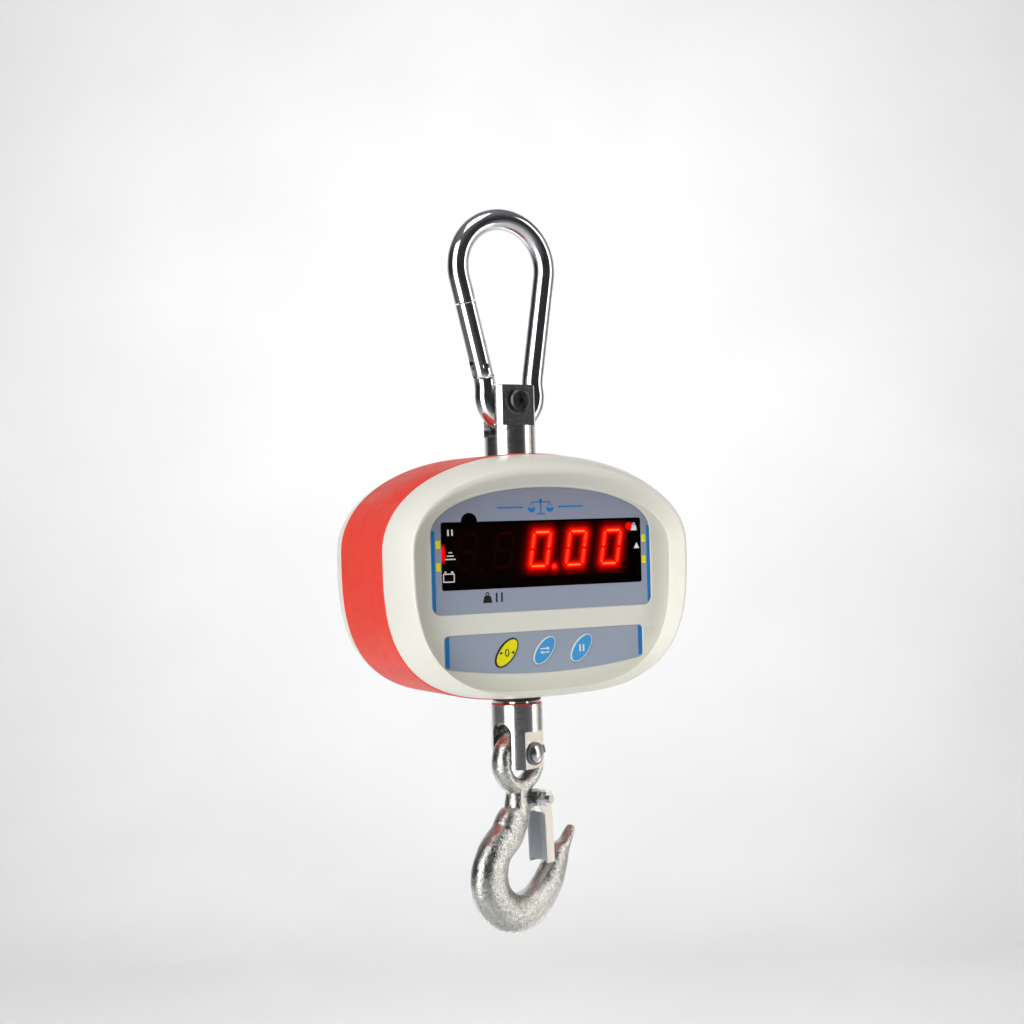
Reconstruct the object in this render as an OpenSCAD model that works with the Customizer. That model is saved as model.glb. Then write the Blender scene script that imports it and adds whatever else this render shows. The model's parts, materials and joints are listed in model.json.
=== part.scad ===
// Hanging crane scale: carabiner, two clevises on a load cell, display housing, eye hook with latch.
// The origin is the inside top of the carabiner, where it hangs. +Z is up and the display faces -Y.

/* [Carabiner] */
// Diameter of the carabiner's wire
wire_d = 15; // [14.5:0.5:15.5]
// Centreline radius of the small end, round the upper pin
small_end_r = 19.6; // [19:0.1:20.5]
// Height of the big end's arc centre above the upper pin
big_end_rise = 94.6; // [90:0.2:98]
// Angle of each straight leg to the carabiner's axis
leg_lean = 11.4; // [10:0.2:12]
// Lean of the carabiner to the left of vertical at rest
carabiner_lean = 2.5; // [0:0.1:4]

/* [Clevises] */
// Diameter of both clevises
clevis_d = 36.5; // [36:0.5:38]
// Width of the slot across both clevises
clevis_slot = 17; // [16.5:0.5:17.5]
// Diameter of the upper clevis pin
upper_pin_d = 15; // [14:0.5:15]
// Diameter of the lower clevis pin
lower_pin_d = 12; // [11:0.5:12]
// Turn of the lower clevis about the vertical at rest
swivel_turn = 20; // [0:1:40]

/* [Housing] */
// Greatest half width of the housing
half_w = 114; // [112:0.5:115]
// Height of the housing above its widest level
top_h = 67.3; // [66:0.1:69]
// Depth of the housing below its widest level
bottom_h = 102.4; // [101:0.1:104]
// Thickness of the covers' walls
shell_wall = 2.5; // [2:0.1:2.8]

/* [Display and keys] */
// Width of the display window
window_w = 157.6; // [156:0.2:158]
// Height of the display window
window_h = 45.4; // [44:0.2:46]
// Distance between the digits' centres
digit_pitch = 28.6; // [28:0.1:28.8]
// Distance between the keys' centres
key_pitch = 29.5; // [28:0.5:31]
// Travel of each key
key_travel = 0.8; // [0.5:0.1:0.8]

/* [Hook] */
// Inside radius of the hook's eye
eye_bore_r = 12; // [11.5:0.1:12.5]
// Thickness of the eye across its plane
eye_thick = 14.5; // [14:0.1:15]

/* [Hidden] */
$fn = 48;

// Gaps: between a hanging part and its pin, of a shaft in its bore, and between still parts
pin_gap = 0.3;
bore_gap = 0.05;
seam_gap = 0.1;
// Sideways play of the carabiner on its pin, taken up at rest
pin_play = 0.9;
wire_r = wire_d / 2;

// Carabiner, in its own frame: the upper pin is the origin and +Z runs up its axis
small_end_rise = small_end_r - wire_r - upper_pin_d / 2 - pin_gap;
neck_bend_r = 30;
neck_turn = 8;
neck_end_x = (small_end_r + neck_bend_r) * cos(neck_turn) - neck_bend_r * cos(leg_lean);
neck_end_z = small_end_rise + (small_end_r + neck_bend_r) * sin(neck_turn) + neck_bend_r * sin(leg_lean);
big_end_r = neck_end_x * cos(leg_lean) + (big_end_rise - neck_end_z) * sin(leg_lean);

// Gate, as distances along the left leg
rivet_at = 8.2;
rivet_d = 4.5;
gate_top_at = 54.4;
gate_end_r = 9.3;
catch_slot_top = 65.6;
catch_pin_at = 61;
catch_pin_d = 3;
tongue_thick = 5;

// Places of the scale below the hang point
axis_x = big_end_rise * sin(carabiner_lean) - pin_play;
upper_pin_z = -(big_end_rise * cos(carabiner_lean) + big_end_r - wire_r);
upper_pin_rise = 104.9;
housing_z = upper_pin_z - upper_pin_rise;

// Heights in the housing's frame, whose zero is its widest level on the clevis axis
upper_top = 116.2;
upper_flat_bottom = 87.5;
upper_slot_floor = upper_pin_rise - 25.2;
upper_bottom = 54;
upper_flat_y = 13.2;
lower_pin_z = -143.3;
lower_shoulder = -107.5;
lower_bottom = -153.6;
lower_slot_roof = -120.6;
lower_flat_top = -127.3;
lower_flat_y = 15.5;
stud_d = 12;
cell_top = 52;
cell_h = 60;
cell_bottom = cell_top - cell_h;
cap_top = cell_bottom;
cap_flange_h = 14;
cap_plug_h = 8;
cup_top = cap_top - cap_flange_h;
cup_bottom = -92;
cup_floor = -82;
cup_d = 46;
cup_bore_d = 34;
shank_d = 20;
neck_d = 22;
washer_h = 3;
ball_d = 4.6;
upper_washer_z = -74;
nut_z = upper_washer_z + washer_h;

// Housing planes along Y, front to back
crest_y = -60.5;
panel_y = -44.2;
front_seam_y = -26.4;
rear_seam_y = 42.4;
back_y = 78;
overlay_thick = 0.6;
panel_back_y = panel_y + shell_wall;

// Squareness of the housing's outline above and below its widest level
top_power = 2.1;
bottom_power = 3.08;
panel_power = 3.2;
ring_points = 64;
// Rear cover's profile: plane along Y and inset from the widest outline
rear_profile = [[back_y, 33], [77, 28], [73, 18], [67, 10], [60, 5], [52, 1.9], [rear_seam_y, 0.7]];
// Inset of the covers' and the band's inner faces
inner_inset = 3.3;

// Panel places
window_z = -2.1;
digit_z = 0.5;
digit_face_y = -39;
board_y = -30.5;
board_thick = 1.6;
key_x = [-31.5, -31.5 + key_pitch, -31.5 + 2 * key_pitch];
key_z = -68.5;
key_long = 11.5;
key_short = 6;
key_tilt = 49;
key_front_y = -45.6;
key_board_y = -34;
// Places on the panel, in x and z: receiver, lamps, and the bosses of both boards
ir_place = [-57.6, 20.6];
status_places = [[-75.2, 5], [-75.2, -9], [75, 14.4], [75, 2]];
display_bosses = [[81.9, 18], [-81.9, 18], [81.9, -22], [-81.9, -22]];
key_bosses = [[41, key_z], [-45, key_z]];
// Inside: posts, chassis, main board and battery
post_places = [[90, 8], [-90, 8], [84, -52], [-84, -52]];
post_end_y = 62;
chassis_y = 26;
chassis_thick = 2;
socket_place = [-50, -24];
switch_place = [-50, 6];
rocker_y = back_y - 5;
main_board_y = 36;
board_corners = [[-74, 8], [-29, 8], [-74, -42], [-29, -42]];
battery_low = [-18, 28, -59];
battery_high = [79, 61, 7];
strap_x = 30;
strap_screw_z = [13, -66];
// Routes of the leads: load cell to main board, and battery terminals to main board
cell_route = [[-30, 0, 30], [-35, 0, 30], [-41, 4, 30], [-46, 12, 30], [-50, 22, 30], [-51, 31, 28],
  [-50.5, 38, 23], [-50, 41, 16], [-50, 41, 8]];
lead_routes = [
  [[-9, 44.5, 13], [-9, 44.5, 17], [-14, 44, 20], [-22, 43, 20],
    [-30, 42, 17], [-33.5, 41, 13], [-33.5, 41, 8]],
  [[5, 44.5, 13], [5, 44.5, 19], [-2, 45, 24], [-16, 45, 25.5],
    [-30, 44, 22], [-37.5, 41, 15], [-37.5, 41, 8]]];

// Hook, in its own frame: the lower pin is the origin and X lies in the hook's plane
eye_drop = eye_bore_r - lower_pin_d / 2 - pin_gap;
eye_outer_r = 24;
// Stations of the shank, bowl and point: x, z, half width in the plane, half thickness
hook_stations = [[-1, -25, 9, 6.6], [-3.5, -33, 7.6, 7.4], [-3, -41.5, 11.4, 8.3], [-9, -49, 13.4, 9.2],
  [-15, -57, 13.4, 9.8], [-25, -64.5, 12.8, 10], [-30, -71.5, 13.8, 10], [-33, -80, 15, 10],
  [-33, -88, 15.3, 10], [-30, -97, 15, 10], [-22, -106, 14.6, 10], [-12, -111.5, 14.2, 10],
  [-1, -113, 14, 10], [10, -111, 13.8, 9.8], [20, -105.5, 13, 9.4], [27, -99, 12.4, 9], [33, -92, 11.6, 8.6],
  [38, -84, 10, 7.8], [43, -77, 7.6, 6.8], [49.3, -71, 3.8, 5.4], [54.5, -65, 3.2, 4.4],
  [57.5, -60.5, 2.2, 3]];
hook_power = 2.5;
latch_x = 16.5;
latch_z = -34.2;
latch_bolt_d = 6;
boss_thick = 7;
cheek_gap = 14;
sheet = 1.6;

function spow(v, p) = sign(v) * pow(abs(v), p);
function unit(v) = v / norm(v);

// Superellipse ring in a plane of constant y, anticlockwise seen from the front
function ring(y, hw, top, bottom, tp, bp) = [for (i = [0:ring_points - 1])
  let (t = 360 * i / ring_points, c = cos(t), s = sin(t), p = s >= 0 ? tp : bp)
  [hw * spow(c, 2 / p), y, (s >= 0 ? top : bottom) * spow(s, 2 / p)]];
function inset_ring(y, inset) =
  ring(y, half_w - inset, top_h - inset, bottom_h - inset, top_power, bottom_power);
function flat(points) = [for (p = points) [p[0], p[2]]];

// Catmull-Rom curve through a list of points of any size, with a number of steps per span
function spline_at(a, b, c, d, t) = 0.5 * (2 * b + (c - a) * t
  + (2 * a - 5 * b + 4 * c - d) * t * t + (3 * b - a - 3 * c + d) * t * t * t);
function spline(p, steps) = let (n = len(p) - 1) [for (k = [0:n * steps])
  let (i = min(floor(k / steps), n - 1), t = k / steps - i)
  spline_at(p[max(i - 1, 0)], p[i], p[i + 1], p[min(i + 2, n)], t)];

// Solid through a list of rings with equal numbers of points
module loft(rings) {
  n = len(rings[0]);
  m = len(rings);
  sides = [for (k = [0:m - 2], i = [0:n - 1]) let (j = (i + 1) % n)
    each [[k * n + i, (k + 1) * n + i, (k + 1) * n + j], [k * n + i, (k + 1) * n + j, k * n + j]]];
  start_cap = [[for (i = [0:n - 1]) i]];
  end_cap = [[for (i = [n - 1:-1:0]) (m - 1) * n + i]];
  polyhedron(points = [for (r = rings) each r], faces = concat(sides, start_cap, end_cap));
}

// Round cord of a given diameter along a route
module cord(route, d, sides, side_dir) {
  n = len(route) - 1;
  loft([for (k = [0:n])
    let (along = unit(route[min(k + 1, n)] - route[max(k - 1, 0)]),
      u = unit(cross(side_dir, along)), v = cross(along, u))
    [for (i = [0:sides - 1]) route[k] + d / 2 * (cos(360 * i / sides) * u + sin(360 * i / sides) * v)]]);
}

module rod_y(d, y0, y1) {
  translate([0, y0, 0]) rotate([-90, 0, 0]) cylinder(d = d, h = y1 - y0);
}

module rod_x(d, x0, x1) {
  translate([x0, 0, 0]) rotate([0, 90, 0]) cylinder(d = d, h = x1 - x0);
}

module rod_z(d, z0, z1) {
  translate([0, 0, z0]) cylinder(d = d, h = z1 - z0);
}

module block(low, high) {
  translate(low) cube(high - low);
}

// Extrudes a shape drawn in x and z from y0 to y1
module slab_y(y0, y1) {
  translate([0, y1, 0]) rotate([90, 0, 0]) linear_extrude(y1 - y0) children();
}

// Extrudes a shape drawn in y and z from x0 to x1
module slab_x(x0, x1) {
  translate([x0, 0, 0]) rotate([90, 0, 90]) linear_extrude(x1 - x0) children();
}

// Extrudes a shape drawn in x and y from z0 to z1
module slab_z(z0, z1) {
  translate([0, 0, z0]) linear_extrude(z1 - z0) children();
}

module retaining_ring(d_in, d_out, y0, thick) {
  difference() {
    rod_y(d_out, y0, y0 + thick);
    rod_y(d_in, y0 - 1, y0 + thick + 1);
  }
}

module washer_z(d_in, d_out, z, h) {
  difference() {
    rod_z(d_out, z, z + h);
    rod_z(d_in, z - 1, z + h + 1);
  }
}

module in_carabiner() {
  translate([axis_x + pin_play, 0, upper_pin_z]) rotate([0, -carabiner_lean, 0]) children();
}

module in_housing() {
  translate([axis_x, 0, housing_z]) children();
}

module in_swivel() {
  in_housing() rotate([0, 0, swivel_turn]) children();
}

module in_hook() {
  in_swivel() translate([0, 0, lower_pin_z]) children();
}

// A place on the left leg: +Z runs up the leg and +X points into the loop
module on_leg(distance) {
  translate([-(neck_end_x + distance * sin(leg_lean)), 0, neck_end_z + distance * cos(leg_lean)])
    rotate([0, -leg_lean, 0]) children();
}

function arc_points(x, z, r, from, to, steps) = [for (i = [0:steps])
  let (t = from + (to - from) * i / steps) [x + r * cos(t), 0, z + r * sin(t)]];
function mirrored(points) = [for (i = [len(points) - 1:-1:0]) [-points[i][0], 0, points[i][2]]];
function leg_point(distance) =
  [-(neck_end_x + distance * sin(leg_lean)), 0, neck_end_z + distance * cos(leg_lean)];

// Centreline from the gate's lower end round the small end and the big end to the gate's upper end
function wire_route() = let (reach = small_end_r + neck_bend_r,
  right_neck = arc_points(reach * cos(neck_turn), small_end_rise + reach * sin(neck_turn), neck_bend_r,
    180 + neck_turn, 180 - leg_lean, 3),
  small_end = arc_points(0, small_end_rise, small_end_r, 180 - neck_turn, 360 + neck_turn, 18),
  big_end = arc_points(0, big_end_rise, big_end_r, -leg_lean, 180 + leg_lean, 24))
  concat([leg_point(rivet_at)], mirrored(right_neck), [for (i = [1:len(small_end) - 2]) small_end[i]],
    right_neck, big_end, [leg_point(gate_top_at + 0.75)]);

module carabiner_body() {
  color("silver") in_carabiner() difference() {
    union() {
      difference() {
        cord(wire_route(), wire_d, 20, [0, 1, 0]);
        on_leg(rivet_at) rod_y(2 * gate_end_r + 0.8, -wire_d, wire_d);
      }
      on_leg(rivet_at) rod_y(10, -tongue_thick / 2, tongue_thick / 2);
      on_leg(0) block([-4.5, -tongue_thick / 2, -3], [4.5, tongue_thick / 2, rivet_at]);
    }
    on_leg(rivet_at) rod_y(rivet_d + 2 * bore_gap, -tongue_thick, tongue_thick);
    on_leg(gate_top_at) block([-5.5, -tongue_thick / 2 - 0.3, -1],
      [wire_d, tongue_thick / 2 + 0.3, catch_slot_top - gate_top_at]);
    on_leg(catch_pin_at) rod_y(catch_pin_d, -wire_d, wire_d);
  }
}

module gate_sleeve() {
  color("silver") in_carabiner() on_leg(rivet_at) {
    reach = gate_top_at - rivet_at;
    difference() {
      union() {
        cylinder(d = wire_d, h = reach);
        intersection() {
          translate([0, 0, -gate_end_r]) cylinder(d = wire_d, h = gate_end_r + 1);
          rod_y(2 * gate_end_r, -wire_d, wire_d);
        }
      }
      block([-wire_d, -tongue_thick / 2 - 0.3, -wire_d], [wire_d, tongue_thick / 2 + 0.3, 6]);
      rod_z(5.4, 5, 30);
      rod_y(rivet_d, -wire_d, wire_d);
    }
    difference() {
      block([-4, -tongue_thick / 2, reach - 1], [4.5, tongue_thick / 2, reach + 9.6]);
      translate([0, 0, catch_pin_at - rivet_at]) {
        rod_y(catch_pin_d + 0.9, -wire_d, wire_d);
        block([-wire_d, -wire_d, -catch_pin_d / 2 - 0.45], [0, wire_d, catch_pin_d / 2 + 0.45]);
      }
    }
  }
}

module gate_rivet() {
  color("gainsboro") in_carabiner() on_leg(rivet_at) rod_y(rivet_d, -wire_r - 0.2, wire_r + 0.2);
}

module gate_catch_pin() {
  color("gainsboro") in_carabiner() on_leg(catch_pin_at) rod_y(catch_pin_d, -wire_r + 0.3, wire_r - 0.3);
}

module gate_spring() {
  turns = 7;
  turn_steps = 10;
  spring_r = 1.9;
  spring_h = 23.2;
  helix = [for (k = [0:turns * turn_steps]) let (t = 360 * k / turn_steps)
    [spring_r * cos(t), spring_r * sin(t), 5.7 + spring_h * k / (turns * turn_steps)]];
  color("dimgray") in_carabiner() on_leg(rivet_at) cord(helix, 0.9, 6, [0, 0, 1]);
}

// Slab that cuts both flats of a clevis: everything further out than flat_y between two heights
module flats(flat_y, z0, z1) {
  for (side = [-1, 1]) translate([0, side * (flat_y + clevis_d / 2), (z0 + z1) / 2])
    cube([clevis_d + 2, clevis_d, z1 - z0], center = true);
}

module upper_clevis() {
  color("lightgray") in_housing() difference() {
    union() {
      rod_z(clevis_d, upper_bottom, upper_top - 0.6);
      translate([0, 0, upper_top - 0.6]) cylinder(d1 = clevis_d, d2 = clevis_d - 1.2, h = 0.6);
    }
    block([-clevis_d, -clevis_slot / 2, upper_slot_floor], [clevis_d, clevis_slot / 2, upper_top + 1]);
    flats(upper_flat_y, upper_flat_bottom, upper_top + 10);
    translate([0, 0, upper_pin_rise]) rod_y(upper_pin_d + 2 * bore_gap, -clevis_d, clevis_d);
    rod_z(stud_d, upper_bottom - 1, upper_bottom + 18);
  }
}

module upper_pin() {
  pin_end = 17.7;
  groove_y = upper_flat_y + 0.15;
  color("#2b2b2f") in_housing() translate([0, 0, upper_pin_rise]) difference() {
    union() {
      rod_y(upper_pin_d, -pin_end + 1, pin_end - 1);
      for (side = [-1, 1]) translate([0, side * (pin_end - 1), 0]) rotate([-side * 90, 0, 0])
        cylinder(d1 = upper_pin_d, d2 = upper_pin_d - 2, h = 1);
    }
    for (side = [-1, 1]) translate([0, side * (groove_y + 0.6), 0])
      retaining_ring(upper_pin_d - 1.4, upper_pin_d + 4, -0.7, 1.4);
    for (side = [-1, 1]) translate([0, side * pin_end, 0]) rod_y(3, -0.8, 0.8);
  }
}

module upper_pin_rings() {
  color("#3a3a3f") in_housing() translate([0, 0, upper_pin_rise])
    for (side = [-1, 1]) translate([0, side * (upper_flat_y + 0.75), 0])
      retaining_ring(upper_pin_d - 1.2, upper_pin_d + 3.4, -0.6, 1.2);
}

// S-shaped load cell with its gauge holes
module load_cell() {
  cell_w = 60;
  cell_t = 24;
  slit = 3;
  mid_z = (cell_top + cell_bottom) / 2;
  color("darkgray") in_housing() difference() {
    block([-cell_w / 2, -cell_t / 2, cell_bottom], [cell_w / 2, cell_t / 2, cell_top]);
    for (side = [-1, 1]) translate([0, 0, mid_z + side * 14]) {
      block([side > 0 ? -cell_w : -20, -cell_t, -slit / 2], [side > 0 ? 20 : cell_w, cell_t, slit / 2]);
      translate([side * 20, 0, 0]) rod_y(6, -cell_t, cell_t);
    }
    for (x = [-8, 8]) translate([x, 0, mid_z]) rod_y(14, -cell_t, cell_t);
    rod_z(stud_d, cell_top - 12, cell_top + 1);
    rod_z(stud_d, cell_bottom - 1, cell_bottom + 12);
  }
}

module load_cell_studs() {
  color("gray") in_housing() {
    rod_z(stud_d, cell_top - 12, upper_bottom + 17);
    rod_z(stud_d, cap_top - cap_flange_h, cell_bottom + 12);
  }
}

module swivel_cap() {
  color("darkgray") in_housing() difference() {
    union() {
      rod_z(cup_d, cup_top, cap_top);
      rod_z(38, cup_top - cap_plug_h, cup_top);
    }
    rod_z(stud_d, cap_top - cap_flange_h, cap_top + 1);
  }
}

module swivel_housing() {
  color("gray") in_housing() difference() {
    rod_z(cup_d, cup_bottom, cup_top);
    rod_z(38, cup_top - cap_plug_h, cup_top + 1);
    rod_z(cup_bore_d, cup_floor, cup_top);
    rod_z(neck_d + 0.2, cup_bottom - 1, cup_floor + 1);
  }
}

module bearing_lower_washer() {
  color("silver") in_housing() washer_z(neck_d + 0.6, cup_bore_d - 0.4, cup_floor, washer_h);
}

// Balls in their cage ring
module bearing_balls() {
  balls = 12;
  track_r = 14.1;
  ball_z = cup_floor + washer_h + ball_d / 2 + 0.1;
  color("goldenrod") in_housing() {
    washer_z(2 * track_r - 3, 2 * track_r + 3, ball_z - 0.8, 1.6);
    for (i = [0:balls - 1]) rotate([0, 0, 360 * i / balls])
      translate([track_r, 0, ball_z]) sphere(d = ball_d);
  }
}

module bearing_upper_washer() {
  color("silver") in_swivel() washer_z(shank_d + 0.1, cup_bore_d - 1, upper_washer_z, washer_h);
}

module castle_nut() {
  nut_h = 9;
  crown_h = 5;
  color("gray") in_swivel() difference() {
    union() {
      translate([0, 0, nut_z]) cylinder(d = 31, h = nut_h, $fn = 6);
      rod_z(26, nut_z + nut_h, nut_z + nut_h + crown_h);
    }
    rod_z(shank_d + 0.1, nut_z - 1, nut_z + nut_h + crown_h + 1);
    for (turn = [0, 60, 120]) rotate([0, 0, turn])
      block([-20, -1.8, nut_z + nut_h + 0.5], [20, 1.8, nut_z + nut_h + crown_h + 1]);
  }
}

module cotter_pin() {
  color("silver") in_swivel() translate([0, 0, nut_z + 11.5]) rod_x(3, -14.5, 14.5);
}

module lower_clevis() {
  slot_r = clevis_slot / 2;
  color("lightgray") in_swivel() difference() {
    union() {
      rod_z(clevis_d, lower_bottom, lower_shoulder - 1);
      translate([0, 0, lower_shoulder - 1]) cylinder(d1 = clevis_d, d2 = clevis_d - 2, h = 1);
      rod_z(neck_d, lower_shoulder - 1, cup_floor - 1);
      rod_z(shank_d, cup_floor - 2, nut_z + 14.5);
    }
    translate([0, 0, lower_slot_roof - slot_r]) rod_x(clevis_slot, -clevis_d, clevis_d);
    block([-clevis_d, -slot_r, lower_bottom - 1], [clevis_d, slot_r, lower_slot_roof - slot_r]);
    flats(lower_flat_y, lower_bottom - 10, lower_flat_top);
    translate([0, 0, lower_pin_z]) rod_y(lower_pin_d + 2 * bore_gap, -clevis_d, clevis_d);
    translate([0, 0, nut_z + 11.5]) rod_x(3.2, -clevis_d, clevis_d);
  }
}

module lower_pin() {
  pin_end = 18.4;
  dome_h = 1.6;
  dome_r = (pow(lower_pin_d / 2, 2) + dome_h * dome_h) / (2 * dome_h);
  color("silver") in_hook() difference() {
    union() {
      rod_y(lower_pin_d, -pin_end, pin_end);
      for (side = [-1, 1]) intersection() {
        translate([0, side * (pin_end + dome_h / 2), 0]) rod_y(lower_pin_d, -dome_h, dome_h);
        translate([0, side * (pin_end + dome_h - dome_r), 0]) sphere(r = dome_r);
      }
    }
    for (side = [-1, 1]) translate([0, side * (lower_flat_y + 0.75), 0])
      retaining_ring(lower_pin_d - 1.4, lower_pin_d + 4, -0.7, 1.4);
  }
}

module lower_pin_rings() {
  ear_angle = -15;
  color("#232327") in_hook() for (side = [-1, 1])
    translate([0, side * (lower_flat_y + 0.75), 0]) difference() {
      union() {
        rod_y(16.2, -0.6, 0.6);
        rotate([0, ear_angle, 0]) block([6, -0.6, -2.6], [10.2, 0.6, 2.6]);
      }
      rod_y(lower_pin_d - 1.2, -2, 2);
    }
}

function hook_ring(station, along) = let (n = 20, u = [along[1], 0, -along[0]])
  [for (i = [0:n - 1]) let (t = 360 * i / n)
    [station[0], 0, station[1]] + station[2] * spow(cos(t), 2 / hook_power) * u
    + [0, station[3] * spow(sin(t), 2 / hook_power), 0]];

// Forged body from the shank round the bowl to the point
module hook_bar() {
  s = spline(hook_stations, 2);
  n = len(s) - 1;
  loft([for (k = [0:n]) let (d = s[min(k + 1, n)] - s[max(k - 1, 0)]) hook_ring(s[k], unit([d[0], d[1]]))]);
}

module hook() {
  section_x = (eye_bore_r + eye_outer_r) / 2;
  section_a = (eye_outer_r - eye_bore_r) / 2;
  eye_section = [for (i = [0:23]) let (t = 15 * i)
    [section_x + section_a * spow(cos(t), 0.9), eye_thick / 2 * spow(sin(t), 0.9)]];
  color("darkgray") in_hook() difference() {
    union() {
      translate([0, 0, -eye_drop]) rotate([90, 0, 0]) rotate_extrude() polygon(eye_section);
      hook_bar();
      translate([latch_x, 0, latch_z]) rod_y(12.6, -boss_thick / 2, boss_thick / 2);
      slab_y(-boss_thick / 2, boss_thick / 2)
        polygon([[2, -28], [16.5, -27.9], [22.7, -34.5], [13, -40], [2, -46]]);
    }
    translate([latch_x, 0, latch_z]) rod_y(latch_bolt_d + 0.2, -20, 20);
  }
}

// Channel of folded sheet: two cheeks on the bolt and a web on the outer side
module latch() {
  tip_z = -46.8;
  cheek = [[-6.2, 0], [-4, -5], [1.5, -12], [3, tip_z], [11, tip_z], [9.5, -12], [6.2, 0]];
  color("gainsboro") in_hook() translate([latch_x, 0, latch_z]) difference() {
    union() {
      for (side = [-1, 1]) {
        y0 = side > 0 ? cheek_gap / 2 : -cheek_gap / 2 - sheet;
        slab_y(y0, y0 + sheet) polygon(cheek);
        rod_y(12.4, y0, y0 + sheet);
      }
      slab_y(-cheek_gap / 2 - sheet, cheek_gap / 2 + sheet)
        polygon([[11 - sheet, tip_z], [11, tip_z], [9.5, -12], [9.5 - sheet, -12]]);
    }
    rod_y(latch_bolt_d + 0.2, -20, 20);
  }
}

module latch_bolt() {
  head_y = cheek_gap / 2 + sheet + 0.2;
  color("silver") in_hook() translate([latch_x, 0, latch_z]) {
    rod_y(latch_bolt_d, -head_y - 7.4, head_y);
    translate([0, head_y, 0]) rotate([-90, 0, 0]) cylinder(d = 11.5, h = 4, $fn = 6);
  }
}

module latch_nut() {
  nut_y = -cheek_gap / 2 - sheet - 0.2;
  color("silver") in_hook() translate([latch_x, 0, latch_z]) difference() {
    translate([0, nut_y, 0]) rotate([90, 0, 0]) cylinder(d = 11.5, h = 5, $fn = 6);
    rod_y(latch_bolt_d, -30, 0);
  }
}

// Two coils on the bolt, one each side of the boss
module latch_spring() {
  coil_r = 4.1;
  coil_wire = 1.2;
  color("dimgray") in_hook() translate([latch_x, 0, latch_z]) for (side = [-1, 1], turn = [0, 1])
    translate([0, side * (boss_thick / 2 + 0.9 + 1.22 * turn), 0]) rotate([90, 0, 0])
      rotate_extrude() translate([coil_r, 0]) circle(d = coil_wire, $fn = 16);
}

// Front cover's outside, round the crest and down the bezel to the panel
function front_outside() = [
  ring(front_seam_y, half_w - 0.7, top_h - 0.7, bottom_h - 0.7, top_power, bottom_power),
  ring(-40, half_w - 1.6, top_h - 1.6, bottom_h - 1.6, top_power, 3.04),
  ring(-50, half_w - 3.2, top_h - 3.4, bottom_h - 3, top_power, 3),
  ring(-56, half_w - 4.8, top_h - 6, bottom_h - 3.8, top_power, 2.95),
  ring(-59.5, half_w - 6.2, top_h - 9.5, bottom_h - 4.6, 2.2, 2.95),
  ring(crest_y, half_w - 7.4, top_h - 12.5, bottom_h - 5.4, 2.3, 3),
  ring(-59.2, half_w - 8.8, top_h - 15.4, bottom_h - 6, 2.25, 3.05),
  ring(-52, half_w - 10.6, top_h - 19.4, bottom_h - 6.5, 2.15, 3.1),
  ring(panel_y, half_w - 11.7, top_h - 22.8, bottom_h - 6.9, top_power, panel_power)];
// Rear cover's outside, from its flat back to the seam
function rear_outside() = [for (p = rear_profile) inset_ring(p[0], p[1])];

function ellipse(a, b, tilt, n) = [for (i = [0:n - 1])
  let (x = a * cos(360 * i / n), z = b * sin(360 * i / n))
  [x * cos(tilt) - z * sin(tilt), x * sin(tilt) + z * cos(tilt)]];

module at_key(i) {
  translate([key_x[i], key_z]) children();
}

module key_outline(i, grow) {
  at_key(i) polygon(ellipse(key_long + grow, key_short + grow, key_tilt, 32));
}

module key_windows() {
  for (i = [0:2]) key_outline(i, 0.4);
}

// Display overlay outline: straight sides, arched top, round lower corners
module overlay_outline() {
  side_x = 86.3;
  arch_z = 12;
  arch_h = 31;
  base_z = -40.8;
  corner = 6;
  arch = [for (i = [0:24]) let (t = 180 * i / 24)
    [side_x * spow(cos(t), 2 / top_power), arch_z + arch_h * spow(sin(t), 2 / top_power)]];
  base = [for (side = [-1, 1], i = [0:5]) let (t = side < 0 ? 180 + 18 * i : 270 + 18 * i)
    [side * (side_x - corner) + corner * cos(t), base_z + corner + corner * sin(t)]];
  polygon(concat(arch, base));
}

// Keypad outline: straight top, bottom edge on a shallow arc
module keypad_outline() {
  side_x = 78;
  top_z = -55.3;
  sag = 6.4;
  arc_r = (side_x * side_x + sag * sag) / (2 * sag);
  low = [for (i = [0:16]) let (x = -side_x + 1.5 + (2 * side_x - 3) * i / 16)
    [x, -83.4 + arc_r - sqrt(arc_r * arc_r - x * x)]];
  polygon(concat(low, [[side_x, -75.5], [side_x, top_z - 2], [side_x - 2, top_z],
    [2 - side_x, top_z], [-side_x, top_z - 2], [-side_x, -75.5]]));
}

module window_outline(grow) {
  translate([0, window_z]) square([window_w + 2 * grow, window_h + 2 * grow], center = true);
  translate(ir_place) circle(r = 6 + grow);
}

module front_cover() {
  color("ivory") in_housing() difference() {
    union() {
      difference() {
        loft(front_outside());
        loft([inset_ring(front_seam_y + 1, inner_inset), inset_ring(-38, inner_inset + 1),
          ring(panel_back_y, half_w - 8, top_h - 9, bottom_h - 6, top_power, panel_power)]);
      }
      for (p = display_bosses) translate([p[0], 0, p[1]]) rod_y(5.6, panel_back_y - 1, board_y);
      for (p = key_bosses) translate([p[0], 0, p[1]]) rod_y(7, panel_back_y - 1, key_board_y);
      for (p = post_places) translate([p[0], 0, p[1]]) rod_y(10, panel_back_y - 1, -36);
    }
    slab_y(panel_y - 1, panel_back_y + 1) window_outline(seam_gap);
    slab_y(panel_y - 1, panel_back_y + 1) key_windows();
    for (p = display_bosses) translate([p[0], 0, p[1]]) rod_y(2.5, panel_back_y + 1, board_y + 1);
    for (p = key_bosses) translate([p[0], 0, p[1]]) rod_y(2.5, panel_back_y + 0.5, key_board_y + 1);
    for (p = post_places) translate([p[0], 0, p[1]]) rod_y(4, panel_back_y - 0.6, -35);
  }
}

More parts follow.
